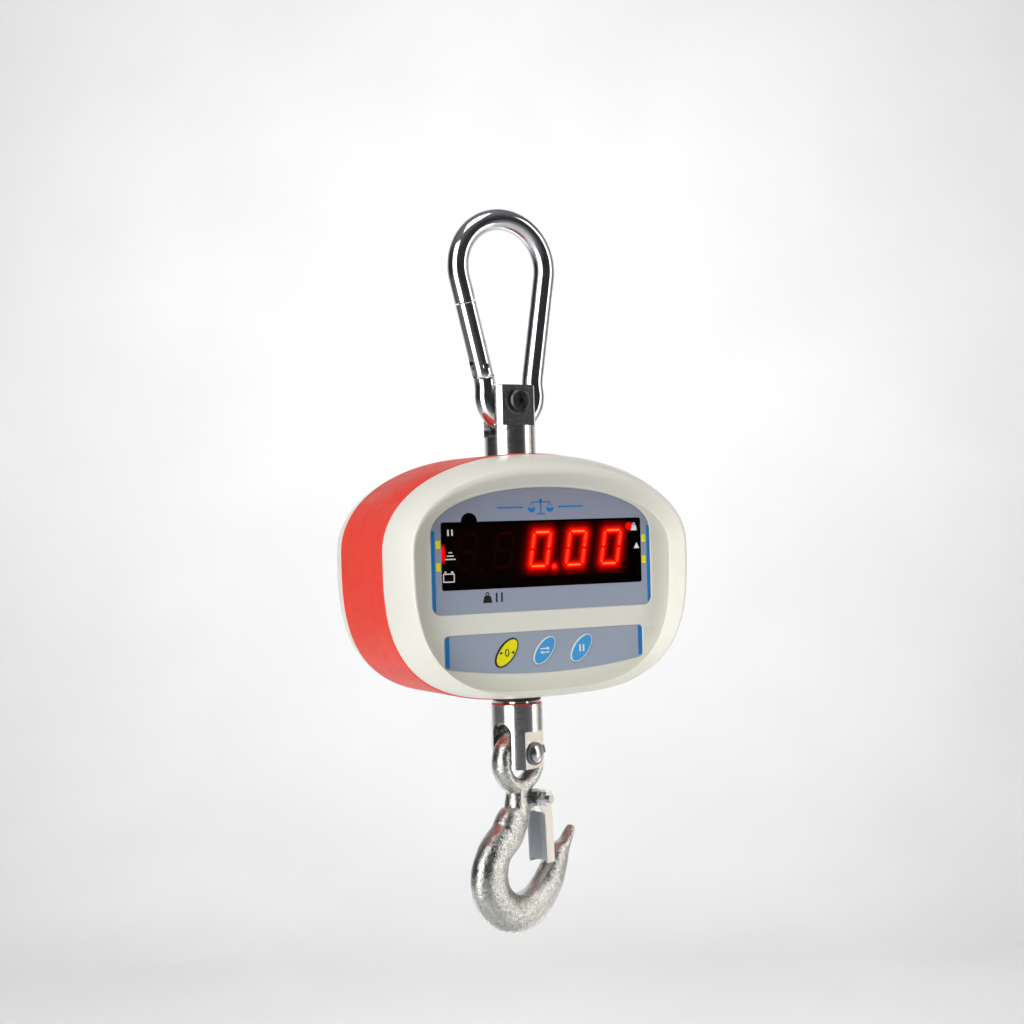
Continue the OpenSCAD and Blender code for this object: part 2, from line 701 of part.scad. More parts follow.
module centre_band() {
  color("tomato") in_housing() difference() {
    slab_y(front_seam_y, rear_seam_y) polygon(flat(inset_ring(0, 0)));
    slab_y(front_seam_y - 1, rear_seam_y + 1) polygon(flat(inset_ring(0, inner_inset)));
    rod_z(41, 40, top_h + 10);
    rod_z(34.4, -bottom_h - 10, -60);
  }
}

// Hollow of the rear cover, which leaves a boss round each post
module rear_hollow() {
  side_scale = 1 - 1.1 * shell_wall / half_w;
  height_scale = 1 - shell_wall / top_h;
  difference() {
    union() {
      loft([for (r = rear_outside())
        [for (p = r) [p[0] * side_scale, p[1] - shell_wall, p[2] * height_scale]]]);
      loft([inset_ring(rear_seam_y + 4, inner_inset), inset_ring(rear_seam_y - 1, inner_inset)]);
    }
    for (p = post_places) translate([p[0], 0, p[1]]) rod_y(11, post_end_y, back_y);
  }
}

module rear_cover() {
  color("ivory") in_housing() difference() {
    loft(rear_outside());
    rear_hollow();
    for (p = post_places) translate([p[0], 0, p[1]]) {
      rod_y(4.4, post_end_y - 1, back_y);
      rod_y(8.4, post_end_y + 3, back_y + 1);
    }
    translate([socket_place[0], 0, socket_place[1]]) {
      rod_y(12.2, back_y - 10, back_y + 1);
      rod_y(20, back_y - 1.2, back_y + 1);
    }
    translate([switch_place[0], 0, switch_place[1]]) {
      block([-10.6, back_y - 10, -6.6], [10.6, back_y + 1, 6.6]);
      block([-12.6, back_y - 1.2, -8.6], [12.6, back_y + 1, 8.6]);
    }
  }
}

// Seal rings inside both seams
module cover_gaskets() {
  color("#202020") in_housing() for (y = [front_seam_y, rear_seam_y]) difference() {
    slab_y(y - 2, y + 2) polygon(flat(inset_ring(0, inner_inset + 1.4)));
    slab_y(y - 3, y + 3) polygon(flat(inset_ring(0, inner_inset + 3)));
  }
}

module top_grommet() {
  color("#202020") in_housing() difference() {
    union() {
      rod_z(40.8, 59, top_h - 0.9);
      rod_z(48, 59, 61.5);
    }
    rod_z(clevis_d + seam_gap, 50, 70);
  }
}

module bottom_grommet() {
  color("#202020") in_housing() difference() {
    union() {
      rod_z(34.2, -106, -96);
      rod_z(42, -98.6, -96);
    }
    rod_z(neck_d + 0.8, -110, -90);
  }
}

module display_overlay() {
  color("#9ba2b8") in_housing() difference() {
    slab_y(panel_y - overlay_thick, panel_y) overlay_outline();
    slab_y(panel_y - 2, panel_y + 1) window_outline(seam_gap);
  }
}

module display_window() {
  color("#200506") in_housing() slab_y(panel_y - overlay_thick - 0.05, panel_back_y) window_outline(0);
}

module led_digits() {
  module_half_w = 13.8;
  module_half_h = 19;
  color("#141414") in_housing() for (i = [-2:2]) translate([i * digit_pitch, 0, digit_z])
    block([-module_half_w, digit_face_y, -module_half_h], [module_half_w, board_y, module_half_h]);
}

module status_leds() {
  color("red") in_housing() for (p = status_places) translate([p[0], 0, p[1]]) rod_y(3, board_y - 7, board_y);
}

module ir_receiver() {
  color("#101010") in_housing() translate([ir_place[0], 0, ir_place[1] + 2]) {
    block([-3, board_y - 6, -2], [3, board_y, 3]);
    translate([0, 0, 0.5]) rod_y(4.4, board_y - 9, board_y - 5);
  }
}

module display_board() {
  color("darkgreen") in_housing() difference() {
    block([-85, board_y, -27], [85, board_y + board_thick, 26]);
    for (p = display_bosses) translate([p[0], 0, p[1]]) rod_y(3.4, board_y - 1, board_y + 3);
  }
}

module keypad_overlay() {
  color("#9ba2b8") in_housing() difference() {
    slab_y(panel_y - overlay_thick, panel_y) keypad_outline();
    slab_y(panel_y - 2, panel_y + 1) key_windows();
  }
}

// Key cap with a flange that keeps it behind the panel, and a stem to its switch
module key(i, colour) {
  color(colour) in_housing() {
    slab_y(key_front_y, panel_back_y + 0.3) key_outline(i, 0);
    slab_y(panel_back_y + 0.3, panel_back_y + 1.3) key_outline(i, 1.5);
    translate([key_x[i], 0, key_z]) rod_y(4, panel_back_y + 1, -39.6);
  }
}

module zero_key() { key(0, "yellow"); }
module unit_key() { key(1, "deepskyblue"); }
module hold_key() { key(2, "deepskyblue"); }

module plunger(i) {
  color("black") in_housing() translate([key_x[i], 0, key_z]) rod_y(3.4, -39.6, -36.6);
}

module zero_plunger() { plunger(0); }
module unit_plunger() { plunger(1); }
module hold_plunger() { plunger(2); }

module switch_bodies() {
  color("#303030") in_housing() for (i = [0:2]) translate([key_x[i], 0, key_z]) difference() {
    block([-3, -37.6, -3], [3, key_board_y, 3]);
    rod_y(3.9, -39, -35.4);
  }
}

module key_board() {
  color("darkgreen") in_housing() difference() {
    block([-50, key_board_y, key_z - 9.5], [46, key_board_y + board_thick, key_z + 9.5]);
    for (p = key_bosses) translate([p[0], 0, p[1]]) rod_y(3.4, key_board_y - 1, key_board_y + 3);
  }
}

module main_board() {
  top = main_board_y + board_thick;
  color("darkgreen") in_housing() difference() {
    union() {
      block([-78, main_board_y, -46], [-26, top, 12]);
      block([-57, top - 0.2, 0], [-43, top + 7, 8]);
      block([-40, top - 0.2, 0], [-32, top + 7, 8]);
      block([-62, top - 0.2, -26], [-44, top + 2.4, -12]);
      translate([-36, 0, -28]) rod_y(10, top - 0.2, top + 12);
      block([-76, main_board_y - 6, -20], [-64, main_board_y + 0.2, -14]);
    }
    for (p = board_corners) translate([p[0], 0, p[1]]) rod_y(3.4, main_board_y - 1, top + 1);
  }
}

module board_spacers() {
  color("gold") in_housing() for (p = board_corners) translate([p[0], 0, p[1]]) difference() {
    rod_y(6, chassis_y + chassis_thick, main_board_y);
    rod_y(2.5, chassis_y + chassis_thick + 1, main_board_y + 1);
  }
}

module small_screw(x, z, seat_y) {
  translate([x, 0, z]) {
    rod_y(5.4, seat_y, seat_y + 1.8);
    rod_y(2.5, seat_y - 5.5, seat_y);
  }
}

module board_screws() {
  color("silver") in_housing() {
    for (p = display_bosses) small_screw(p[0], p[1], board_y + board_thick);
    for (p = key_bosses) small_screw(p[0], p[1], key_board_y + board_thick);
    for (p = board_corners) small_screw(p[0], p[1], main_board_y + board_thick);
    for (z = strap_screw_z) small_screw(strap_x + 10, z, chassis_y + chassis_thick + 1.5);
  }
}

module battery() {
  color("#3b3f45") in_housing() {
    block(battery_low, battery_high);
    for (x = [-9, 5]) block([x - 2.4, 44, battery_high[2] - 1], [x + 2.4, 45, battery_high[2] + 6]);
  }
}

// Strap over the battery with a foot at each end
module battery_strap() {
  thick = 1.5;
  face = chassis_y + chassis_thick;
  back = battery_high[1];
  top = battery_high[2];
  bottom = battery_low[2];
  color("lightgray") in_housing() difference() {
    slab_x(strap_x, strap_x + 20) polygon([[face, top + 11], [face, top], [back, top], [back, bottom],
      [face, bottom], [face, bottom - 12], [face + thick, bottom - 12], [face + thick, bottom - thick],
      [back + thick, bottom - thick], [back + thick, top + thick], [face + thick, top + thick],
      [face + thick, top + 11]]);
    for (z = strap_screw_z) translate([strap_x + 10, 0, z]) rod_y(2.5, face - 1, face + thick + 1);
  }
}

// Sheet behind the load cell that carries battery and boards, hung from the clevis by its top tab
module chassis_plate() {
  color("lightgray") in_housing() difference() {
    union() {
      slab_y(chassis_y, chassis_y + chassis_thick) polygon([[-96, 18], [-96, -58], [-88, -74], [88, -74],
        [96, -58], [96, 18], [30, 18], [24, 30], [24, upper_bottom], [-24, upper_bottom], [-24, 30],
        [-30, 18]]);
      block([-24, -18, cell_top], [24, chassis_y + chassis_thick, upper_bottom]);
    }
    rod_z(stud_d + 0.4, 40, 60);
    for (p = post_places) translate([p[0], 0, p[1]]) rod_y(4.3, 20, 40);
    block([-78, 20, -23], [-62, 40, -11]);
    for (p = board_corners) translate([p[0], 0, p[1]]) rod_y(2.4, 20, 40);
    for (z = strap_screw_z) translate([strap_x + 10, 0, z]) rod_y(2.5, 20, 40);
  }
}

// Hexagonal posts from the front cover to the chassis and from the chassis to the rear cover
module chassis_posts() {
  color("silver") in_housing() for (p = post_places) translate([p[0], 0, p[1]]) {
    translate([0, -36, 0]) rotate([-90, 0, 0]) cylinder(d = 9, h = chassis_y + 36, $fn = 6);
    rod_y(4, -40, -36);
    rod_y(4, chassis_y, chassis_y + chassis_thick);
    difference() {
      translate([0, chassis_y + chassis_thick, 0]) rotate([-90, 0, 0])
        cylinder(d = 9, h = post_end_y - chassis_y - chassis_thick, $fn = 6);
      rod_y(4, post_end_y - 14, post_end_y + 1);
    }
  }
}

module housing_screws() {
  color("dimgray") in_housing() for (p = post_places) translate([p[0], 0, p[1]]) difference() {
    union() {
      rod_y(7.6, post_end_y + 3, post_end_y + 5.6);
      rod_y(4, post_end_y - 12, post_end_y + 3);
    }
    translate([0, post_end_y + 4.2, 0]) rotate([-90, 0, 0]) cylinder(d = 3.4, h = 3, $fn = 6);
  }
}

module charger_socket() {
  color("#181818") in_housing() translate([socket_place[0], 0, socket_place[1]]) difference() {
    union() {
      rod_y(12, back_y - 16, back_y - 1.2);
      rod_y(19, back_y - 1.2, back_y - 0.1);
      translate([0, back_y - shell_wall - 3, 0]) rotate([-90, 0, 0]) cylinder(d = 17, h = 3, $fn = 6);
    }
    rod_y(5.6, back_y - 11, back_y + 1);
  }
}

module power_switch() {
  color("#181818") in_housing() translate([switch_place[0], 0, switch_place[1]]) difference() {
    union() {
      block([-10.4, back_y - 18, -6.4], [10.4, back_y - 1.2, 6.4]);
      block([-12.4, back_y - 1.2, -8.4], [12.4, back_y - 0.1, 8.4]);
    }
    block([-8.4, back_y - 12, -4.6], [8.4, back_y + 1, 4.6]);
  }
}

module power_rocker() {
  color("#242424") in_housing() translate([switch_place[0], rocker_y, switch_place[1]])
    slab_z(-4.3, 4.3) polygon([[-7.6, -3], [-7.2, 3.3], [0, 2.1], [7.2, 4.6], [7.6, -3]]);
}

// Lead from the load cell over the chassis to the main board
module load_cell_cable() {
  color("#303036") in_housing() cord(spline(cell_route, 4), 4, 8, [0, 0.3, 1]);
}

// Two leads from the battery's terminals to the main board
module battery_leads() {
  color("firebrick") in_housing() for (route = lead_routes) cord(spline(route, 4), 2.4, 8, [0, 1, 0]);
}

// Flat cable from the display board through the chassis to the main board
module display_ribbon() {
  front_end = board_y + board_thick;
  rear_end = main_board_y - 6;
  color("gray") in_housing() slab_x(-75, -65) polygon([[front_end, -17.5], [-10, -24.5], [10, -24.5],
    [rear_end, -17.5], [rear_end, -16.5], [10, -23.5], [-10, -23.5], [front_end, -16.5]]);
}

carabiner_body();
gate_sleeve();
gate_rivet();
gate_catch_pin();
gate_spring();
upper_clevis();
upper_pin();
upper_pin_rings();
load_cell();
load_cell_studs();
swivel_cap();
swivel_housing();
bearing_lower_washer();
bearing_balls();
bearing_upper_washer();
castle_nut();
cotter_pin();
lower_clevis();
lower_pin();
lower_pin_rings();
hook();
latch();
latch_bolt();
latch_nut();
latch_spring();
front_cover();
centre_band();
rear_cover();
cover_gaskets();
top_grommet();
bottom_grommet();
display_overlay();
display_window();
led_digits();
status_leds();
ir_receiver();
display_board();
keypad_overlay();
zero_key();
unit_key();
hold_key();
zero_plunger();
unit_plunger();
hold_plunger();
switch_bodies();
key_board();
main_board();
board_spacers();
board_screws();
battery();
battery_strap();
chassis_plate();
chassis_posts();
housing_screws();
charger_socket();
power_switch();
power_rocker();
load_cell_cable();
battery_leads();
display_ribbon();
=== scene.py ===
"""Crane scale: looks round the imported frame. Lengths are in millimetres until a mesh is made."""
import json
import math

import bpy
import bmesh
from mathutils import Matrix, Vector, noise
from mathutils.geometry import tessellate_polygon

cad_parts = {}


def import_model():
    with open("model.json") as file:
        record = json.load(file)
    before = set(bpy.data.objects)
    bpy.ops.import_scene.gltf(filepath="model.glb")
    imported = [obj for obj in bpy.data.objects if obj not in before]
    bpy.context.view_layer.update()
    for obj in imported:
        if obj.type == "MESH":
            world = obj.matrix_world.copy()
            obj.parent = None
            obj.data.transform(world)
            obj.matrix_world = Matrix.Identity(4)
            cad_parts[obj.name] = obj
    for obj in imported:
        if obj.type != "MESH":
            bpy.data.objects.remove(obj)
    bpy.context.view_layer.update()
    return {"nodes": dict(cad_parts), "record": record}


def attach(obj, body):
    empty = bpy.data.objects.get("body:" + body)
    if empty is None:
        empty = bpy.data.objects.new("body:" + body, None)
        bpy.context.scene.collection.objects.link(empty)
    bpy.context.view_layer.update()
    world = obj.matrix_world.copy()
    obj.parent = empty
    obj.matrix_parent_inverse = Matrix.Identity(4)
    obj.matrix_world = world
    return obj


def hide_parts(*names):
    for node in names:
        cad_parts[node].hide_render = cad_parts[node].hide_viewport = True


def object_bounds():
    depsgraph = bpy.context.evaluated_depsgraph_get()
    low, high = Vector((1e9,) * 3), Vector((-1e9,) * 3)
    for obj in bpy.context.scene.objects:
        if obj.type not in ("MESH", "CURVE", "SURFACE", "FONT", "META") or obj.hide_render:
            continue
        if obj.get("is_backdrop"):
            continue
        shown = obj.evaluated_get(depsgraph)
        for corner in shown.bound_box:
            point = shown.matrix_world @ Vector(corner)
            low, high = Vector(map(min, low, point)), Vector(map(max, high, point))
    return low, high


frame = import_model()
MM = 0.001
JOINTS = {joint["name"]: joint for joint in frame["record"]["behaviour"]["joints"]}


# ---- frames and driving sizes

def joint_place(name):
    return Vector(JOINTS[name]["pos_m"]) / MM


def moved(x, y, z):
    return Matrix.Translation((x, y, z))


def turned(degrees, axis):
    return Matrix.Rotation(math.radians(degrees), 4, axis)


PIN_RISE = 104.9
PIN_PLAY = 0.9
CARABINER_LEAN = 2.5
SWIVEL_TURN = 20
LEG_LEAN = 11.4
WIRE_D = 15
SMALL_END_R = 19.6
SMALL_END_RISE = 4.3
BIG_END_RISE = 94.6
NECK_BEND_R = 30
NECK_TURN = 8
GATE_TOP_AT = 54.4
RIVET_AT = 8.2
TONGUE = 5

upper_pin = joint_place("upper_swing")
axis_x = upper_pin.x
housing_z = upper_pin.z - PIN_RISE
HOUSING = moved(axis_x, 0, housing_z)
HOOK = moved(*joint_place("hook_swing")) @ turned(SWIVEL_TURN, "Z")
CARABINER = moved(axis_x + PIN_PLAY, 0, upper_pin.z) @ turned(-CARABINER_LEAN, "Y")
LEG = moved(*joint_place("gate_hinge")) @ turned(-CARABINER_LEAN - LEG_LEAN, "Y")

HALF_W = 114
TOP_H = 67.3
BOTTOM_H = 102.4
TOP_POWER = 2.1
BOTTOM_POWER = 3.08
PANEL_POWER = 3.2
FRONT_SEAM_Y = -26.4
REAR_SEAM_Y = 42.4
BACK_Y = 78
PANEL_Y = -44.2
PANEL_FACE_Y = -45.1
PANEL_BACK_Y = -41.7
FILM_Y = -44.75
DIGIT_FACE_Y = -39
INNER_INSET = 3.3
RING_POINTS = 240

WINDOW_W = 157.6
WINDOW_H = 45.4
WINDOW_Z = -2.1
IR_X = -57.6
IR_R = 6
KEY_X = (-31.5, -2, 27.5)
KEY_Z = -68.5
KEY_LONG = 11.5
KEY_SHORT = 6
KEY_TILT = 49
DIGIT_PITCH = 28.6
DIGIT_Z = 0.65


# ---- outlines

def superellipse(half_w, top, bottom, top_power, bottom_power, count=RING_POINTS):
    """Ring in x and z, anticlockwise seen from the front, with its own power above and below."""
    ring = []
    for i in range(count):
        t = 2 * math.pi * i / count
        c, s = math.cos(t), math.sin(t)
        power, height = (top_power, top) if s >= 0 else (bottom_power, bottom)
        n = (abs(c) ** power + abs(s) ** power) ** (1 / power)
        ring.append((half_w * c / n, height * s / n))
    return ring


def inset_ring(inset):
    return superellipse(HALF_W - inset, TOP_H - inset, BOTTOM_H - inset, TOP_POWER, BOTTOM_POWER)


def catmull(rows, steps):
    """Smooth run through rows of numbers, with a number of steps from each row to the next."""
    last = len(rows) - 1
    out = []
    for k in range(last * steps + 1):
        i = min(k // steps, last - 1)
        t = k / steps - i
        a, b, c, d = (rows[min(max(j, 0), last)] for j in (i - 1, i, i + 1, i + 2))
        out.append([0.5 * (2 * q + (r - p) * t + (2 * p - 5 * q + 4 * r - s) * t * t
                           + (3 * q - p - 3 * r + s) * t ** 3) for p, q, r, s in zip(a, b, c, d)])
    return out


def arc(x, z, r, start, end, steps):
    return [(x + r * math.cos(math.radians(start + (end - start) * i / steps)),
             z + r * math.sin(math.radians(start + (end - start) * i / steps))) for i in range(steps + 1)]


def disc(x, z, r, count=24):
    return arc(x, z, r, 0, 360, count)[:-1]


def bar(x0, z0, x1, z1, width):
    """Straight stroke with square ends."""
    dx, dz = x1 - x0, z1 - z0
    n = math.hypot(dx, dz)
    ux, uz = -dz / n * width / 2, dx / n * width / 2
    return [(x0 - ux, z0 - uz), (x1 - ux, z1 - uz), (x1 + ux, z1 + uz), (x0 + ux, z0 + uz)]


def round_box(x, z, w, h, r, steps=5):
    """Rectangle about x and z with round corners."""
    points = []
    for cx, cz, start in ((1, 1, 0), (-1, 1, 90), (-1, -1, 180), (1, -1, 270)):
        points += arc(x + cx * (w / 2 - r), z + cz * (h / 2 - r), r, start, start + 90, steps)
    return points


def ellipse(x, z, a, b, tilt, count=48):
    c, s = math.cos(math.radians(tilt)), math.sin(math.radians(tilt))
    angles = [2 * math.pi * i / count for i in range(count)]
    return [(x + a * math.cos(t) * c - b * math.sin(t) * s, z + a * math.cos(t) * s + b * math.sin(t) * c)
            for t in angles]


def display_outline(grow=0.0):
    """Straight sides, arched top, round lower corners."""
    side_x, arch_z, arch_h, base_z, corner = 86.3 + grow, 12, 31 + grow, -40.8 - grow, 6 + grow
    arch = superellipse(side_x, arch_h, arch_h, TOP_POWER, TOP_POWER, 128)[:65]
    points = [(x, arch_z + z) for x, z in arch]
    points += arc(corner - side_x, base_z + corner, corner, 180, 270, 8)
    points += arc(side_x - corner, base_z + corner, corner, 270, 360, 8)
    return points


def keypad_outline(grow=0.0):
    """Straight top and sides, bottom edge on a shallow arc."""
    side_x, top_z, low_z, sag, corner = 78 + grow, -55.3 + grow, -83.4 - grow, 6.4, 2.5
    arc_r = (side_x * side_x + sag * sag) / (2 * sag)
    low = [(side_x * k / 24, low_z + arc_r - math.sqrt(arc_r ** 2 - (side_x * k / 24) ** 2))
           for k in range(-23, 24)]
    right = [(side_x - 0.7, low[-1][1] + 1.0), (side_x, low[-1][1] + 2.6)]
    right += arc(side_x - corner, top_z - corner, corner, 0, 90, 5)
    return low + right + [(-x, z) for x, z in reversed(right)]


def window_outline(grow=0.0):
    """Rectangle with small round corners and the receiver's half disc on its top edge."""
    w, h, r = WINDOW_W / 2 + grow, WINDOW_H / 2 + grow, 1.6
    top = WINDOW_Z + h
    points = arc(w - r, top - r, r, 0, 90, 4)
    points += arc(IR_X, top - grow, IR_R + grow, 0, 180, 20)
    points += arc(r - w, top - r, r, 90, 180, 4)
    points += arc(r - w, WINDOW_Z - h + r, r, 180, 270, 4)
    points += arc(w - r, WINDOW_Z - h + r, r, 270, 360, 4)
    return points


def key_outline(index, grow=0.0):
    return ellipse(KEY_X[index], KEY_Z, KEY_LONG + grow, KEY_SHORT + grow, KEY_TILT)


# ---- meshes

def at_y(points, y):
    return [(x, y, z) for x, z in points]


class Build:
    """Collects vertices and faces in a part's own frame, in millimetres."""

    def __init__(self, place):
        self.place = place
        self.verts = []
        self.faces = []
        self.kinds = []

    def ring(self, points):
        first = len(self.verts)
        self.verts += points
        return list(range(first, len(self.verts)))

    def face(self, indices, kind=0):
        self.faces.append(indices)
        self.kinds.append(kind)

    def bridge(self, a, b, kind=0):
        for i in range(len(a)):
            j = (i + 1) % len(a)
            self.face((a[i], a[j], b[j], b[i]), kind)

    def loft(self, rings, kind=0, closed=False):
        """Skin through point rings of equal length; closed joins the last ring to the first."""
        loops = [self.ring(r) for r in rings]
        for a, b in zip(loops, loops[1:]):
            self.bridge(a, b, kind)
        if closed:
            self.bridge(loops[-1], loops[0], kind)
        return loops

    def sheet(self, loops, kind=0):
        """Flat face inside the first loop and outside the others, given as vertex index loops."""
        flat = [index for loop in loops for index in loop]
        for tri in tessellate_polygon([[Vector(self.verts[i]) for i in loop] for loop in loops]):
            self.face(tuple(flat[i] for i in tri), kind)

    def cap(self, loop, kind=0):
        self.face(tuple(loop), kind)

    def solid(self, rings, kind=0):
        loops = self.loft(rings, kind)
        self.cap(loops[0], kind)
        self.cap(loops[-1], kind)

    def plate(self, outline, y0, y1, chamfer=0.0, kind=0):
        """Thin solid in the panel's plane, y0 in front, with an optional chamfer on its front edge."""
        rings = [at_y(outline, y1), at_y(outline, y0 + chamfer)]
        if chamfer:
            cx = sum(p[0] for p in outline) / len(outline)
            cz = sum(p[1] for p in outline) / len(outline)
            rings.append([(x - math.copysign(min(chamfer, abs(x - cx)), x - cx), y0,
                           z - math.copysign(min(chamfer, abs(z - cz)), z - cz)) for x, z in outline])
        else:
            rings[-1] = at_y(outline, y0)
        loops = self.loft(rings, kind)
        self.sheet([loops[0]], kind)
        self.sheet([loops[-1]], kind)

    def drilled_plate(self, outline, holes, y0, y1, kind=0):
        """Thin solid with holes through it."""
        back = [self.ring(at_y(points, y1)) for points in [outline] + holes]
        front = [self.ring(at_y(points, y0)) for points in [outline] + holes]
        for a, b in zip(back, front):
            self.bridge(a, b, kind)
        self.sheet(back, kind)
        self.sheet(front, kind)

    def mesh(self, name):
        mesh = bpy.data.meshes.new(name)
        mesh.from_pydata([(self.place @ Vector(v)) * MM for v in self.verts], [], self.faces)
        mesh.polygons.foreach_set("material_index", self.kinds)
        tidy = bmesh.new()
        tidy.from_mesh(mesh)
        bmesh.ops.remove_doubles(tidy, verts=tidy.verts, dist=1e-7)
        bmesh.ops.recalc_face_normals(tidy, faces=tidy.faces)
        tidy.to_mesh(mesh)
        tidy.free()
        return mesh


def soften(mesh, angle=32):
    mesh.polygons.foreach_set("use_smooth", [True] * len(mesh.polygons))
    mesh.set_sharp_from_angle(angle=math.radians(angle))


def piece(name, mesh, materials, body, nodes=(), angle=32):
    """Object for a finished mesh that rides on a body and stands for some CAD nodes."""
    obj = bpy.data.objects.new(name, mesh)
    bpy.context.scene.collection.objects.link(obj)
    last = len(materials) - 1
    faces = [min(polygon.material_index, last) for polygon in mesh.polygons]
    mesh.materials.clear()
    for material in materials:
        mesh.materials.append(material)
    mesh.polygons.foreach_set("material_index", faces)
    soften(mesh, angle)
    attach(obj, body)
    if nodes:
        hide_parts(*nodes)
    return obj


def loose(mesh):
    obj = bpy.data.objects.new("tool", mesh)
    bpy.context.scene.collection.objects.link(obj)
    return obj


def applied(obj):
    """Mesh of an object with its modifiers applied; the object goes away."""
    shown = obj.evaluated_get(bpy.context.evaluated_depsgraph_get())
    mesh = bpy.data.meshes.new_from_object(shown)
    bpy.data.objects.remove(obj)
    return mesh


def combined(mesh, tools, operation):
    """Boolean of a mesh with a list of tool meshes."""
    obj = loose(mesh)
    cutters = [loose(tool) for tool in tools]
    for cutter in cutters:
        step = obj.modifiers.new("step", "BOOLEAN")
        step.operation = operation
        step.object = cutter
        step.solver = "EXACT"
    result = applied(obj)
    for cutter in cutters:
        bpy.data.objects.remove(cutter)
    return result


def together(meshes):
    """One mesh that holds several closed ones, overlapping as they are."""
    pool = bmesh.new()
    for mesh in meshes:
        pool.from_mesh(mesh)
        bpy.data.meshes.remove(mesh)
    mesh = bpy.data.meshes.new("together")
    pool.to_mesh(mesh)
    pool.free()
    return mesh


def rod(place, d, start, end, axis="Y", sides=64):
    """Cylinder mesh about an axis of a local frame."""
    build = Build(place)
    rank = "XYZ".index(axis)
    build.solid([[p[:rank] + (at,) + p[rank:] for p in disc(0, 0, d / 2, sides)] for at in (start, end)])
    return build.mesh("rod")


def brick(place, low, high):
    build = Build(place)
    corners = [(low[0], low[2]), (high[0], low[2]), (high[0], high[2]), (low[0], high[2])]
    build.solid([at_y(corners, low[1]), at_y(corners, high[1])])
    return build.mesh("brick")


def slab(place, outline, y0, y1):
    build = Build(place)
    build.plate(outline, y0, y1)
    return build.mesh("slab")


def tube(place, route, d, sides=40):
    """Round wire along a route in the x and z plane."""
    build = Build(place)
    rings = []
    for k, point in enumerate(route):
        a, b = route[max(k - 1, 0)], route[min(k + 1, len(route) - 1)]
        along = Vector((b[0] - a[0], 0, b[1] - a[1])).normalized()
        across = along.cross(Vector((0, 1, 0)))
        rings.append([tuple(Vector((point[0], 0, point[1])) + d / 2
                            * (math.cos(t) * across + math.sin(t) * Vector((0, 1, 0))))
                      for t in (2 * math.pi * i / sides for i in range(sides))])
    build.solid(rings)
    return build.mesh("tube")


# ---- materials

def tone(r, g, b):
    """Screen colour, 0 to 255, as a linear shader colour."""
    linear = [c / 255 / 12.92 if c <= 10 else ((c / 255 + 0.055) / 1.055) ** 2.4 for c in (r, g, b)]
    return tuple(linear) + (1,)


def scaled(colour, factor):
    return tuple(min(c * factor, 1) for c in colour[:3]) + (1,)


class Graph:
    """Small helper round a material's node tree."""

    def __init__(self, name):
        self.material = bpy.data.materials.new(name)
        self.material.use_nodes = True
        self.tree = self.material.node_tree
        self.shader = self.tree.nodes["Principled BSDF"]
        self.place = self.add("ShaderNodeTexCoord").outputs["Object"]

    def add(self, kind, **values):
        node = self.tree.nodes.new(kind)
        for key, value in values.items():
            setattr(node, key, value)
        return node

    def link(self, output, target):
        self.tree.links.new(output, target)

    def set(self, **values):
        for key, value in values.items():
            self.shader.inputs[key.replace("_", " ")].default_value = value

    def noise(self, scale, detail=3, stretch=(1, 1, 1), roughness=0.5):
        mapping = self.add("ShaderNodeMapping")
        mapping.inputs["Scale"].default_value = stretch
        self.link(self.place, mapping.inputs["Vector"])
        node = self.add("ShaderNodeTexNoise")
        node.inputs["Scale"].default_value = scale
        node.inputs["Detail"].default_value = detail
        node.inputs["Roughness"].default_value = roughness
        self.link(mapping.outputs["Vector"], node.inputs["Vector"])
        return node.outputs["Fac"]

    def ramp(self, fac, stops):
        node = self.add("ShaderNodeValToRGB")
        elements = node.color_ramp.elements
        while len(elements) < len(stops):
            elements.new(0.5)
        for element, (position, colour) in zip(elements, stops):
            element.position = position
            element.color = colour
        self.link(fac, node.inputs["Fac"])
        return node.outputs["Color"]

    def span(self, fac, low, high, from_low=0.3, from_high=0.7):
        node = self.add("ShaderNodeMapRange")
        for key, value in zip(("From Min", "From Max", "To Min", "To Max"), (from_low, from_high, low, high)):
            node.inputs[key].default_value = value
        self.link(fac, node.inputs["Value"])
        return node.outputs["Result"]

    def mix(self, fac, a, b, blend="MIX"):
        node = self.add("ShaderNodeMix", data_type="RGBA", blend_type=blend)
        for value, socket in ((fac, node.inputs[0]), (a, node.inputs[6]), (b, node.inputs[7])):
            if isinstance(value, (int, float, tuple)):
                socket.default_value = value
            else:
                self.link(value, socket)
        return node.outputs[2]

    def bump(self, height, strength, distance=0.0002, after=None):
        node = self.add("ShaderNodeBump")
        node.inputs["Strength"].default_value = strength
        node.inputs["Distance"].default_value = distance
        self.link(height, node.inputs["Height"])
        if after is not None:
            self.link(after, node.inputs["Normal"])
        return node.outputs["Normal"]

    def painted_edge_highlight(self, colour, edge, low=0.52, high=0.6):
        """Colour that turns to a lighter edge tone where the mesh is sharply convex: a painted highlight
        along the edges.
        """
        point = self.add("ShaderNodeNewGeometry").outputs["Pointiness"]
        return self.mix(self.span(point, 0, 1, low, high), colour, edge)

    def finish(self, colour, rough, normal=None):
        self.link(colour, self.shader.inputs["Base Color"])
        self.link(rough, self.shader.inputs["Roughness"])
        if normal is not None:
            self.link(normal, self.shader.inputs["Normal"])
        return self.material


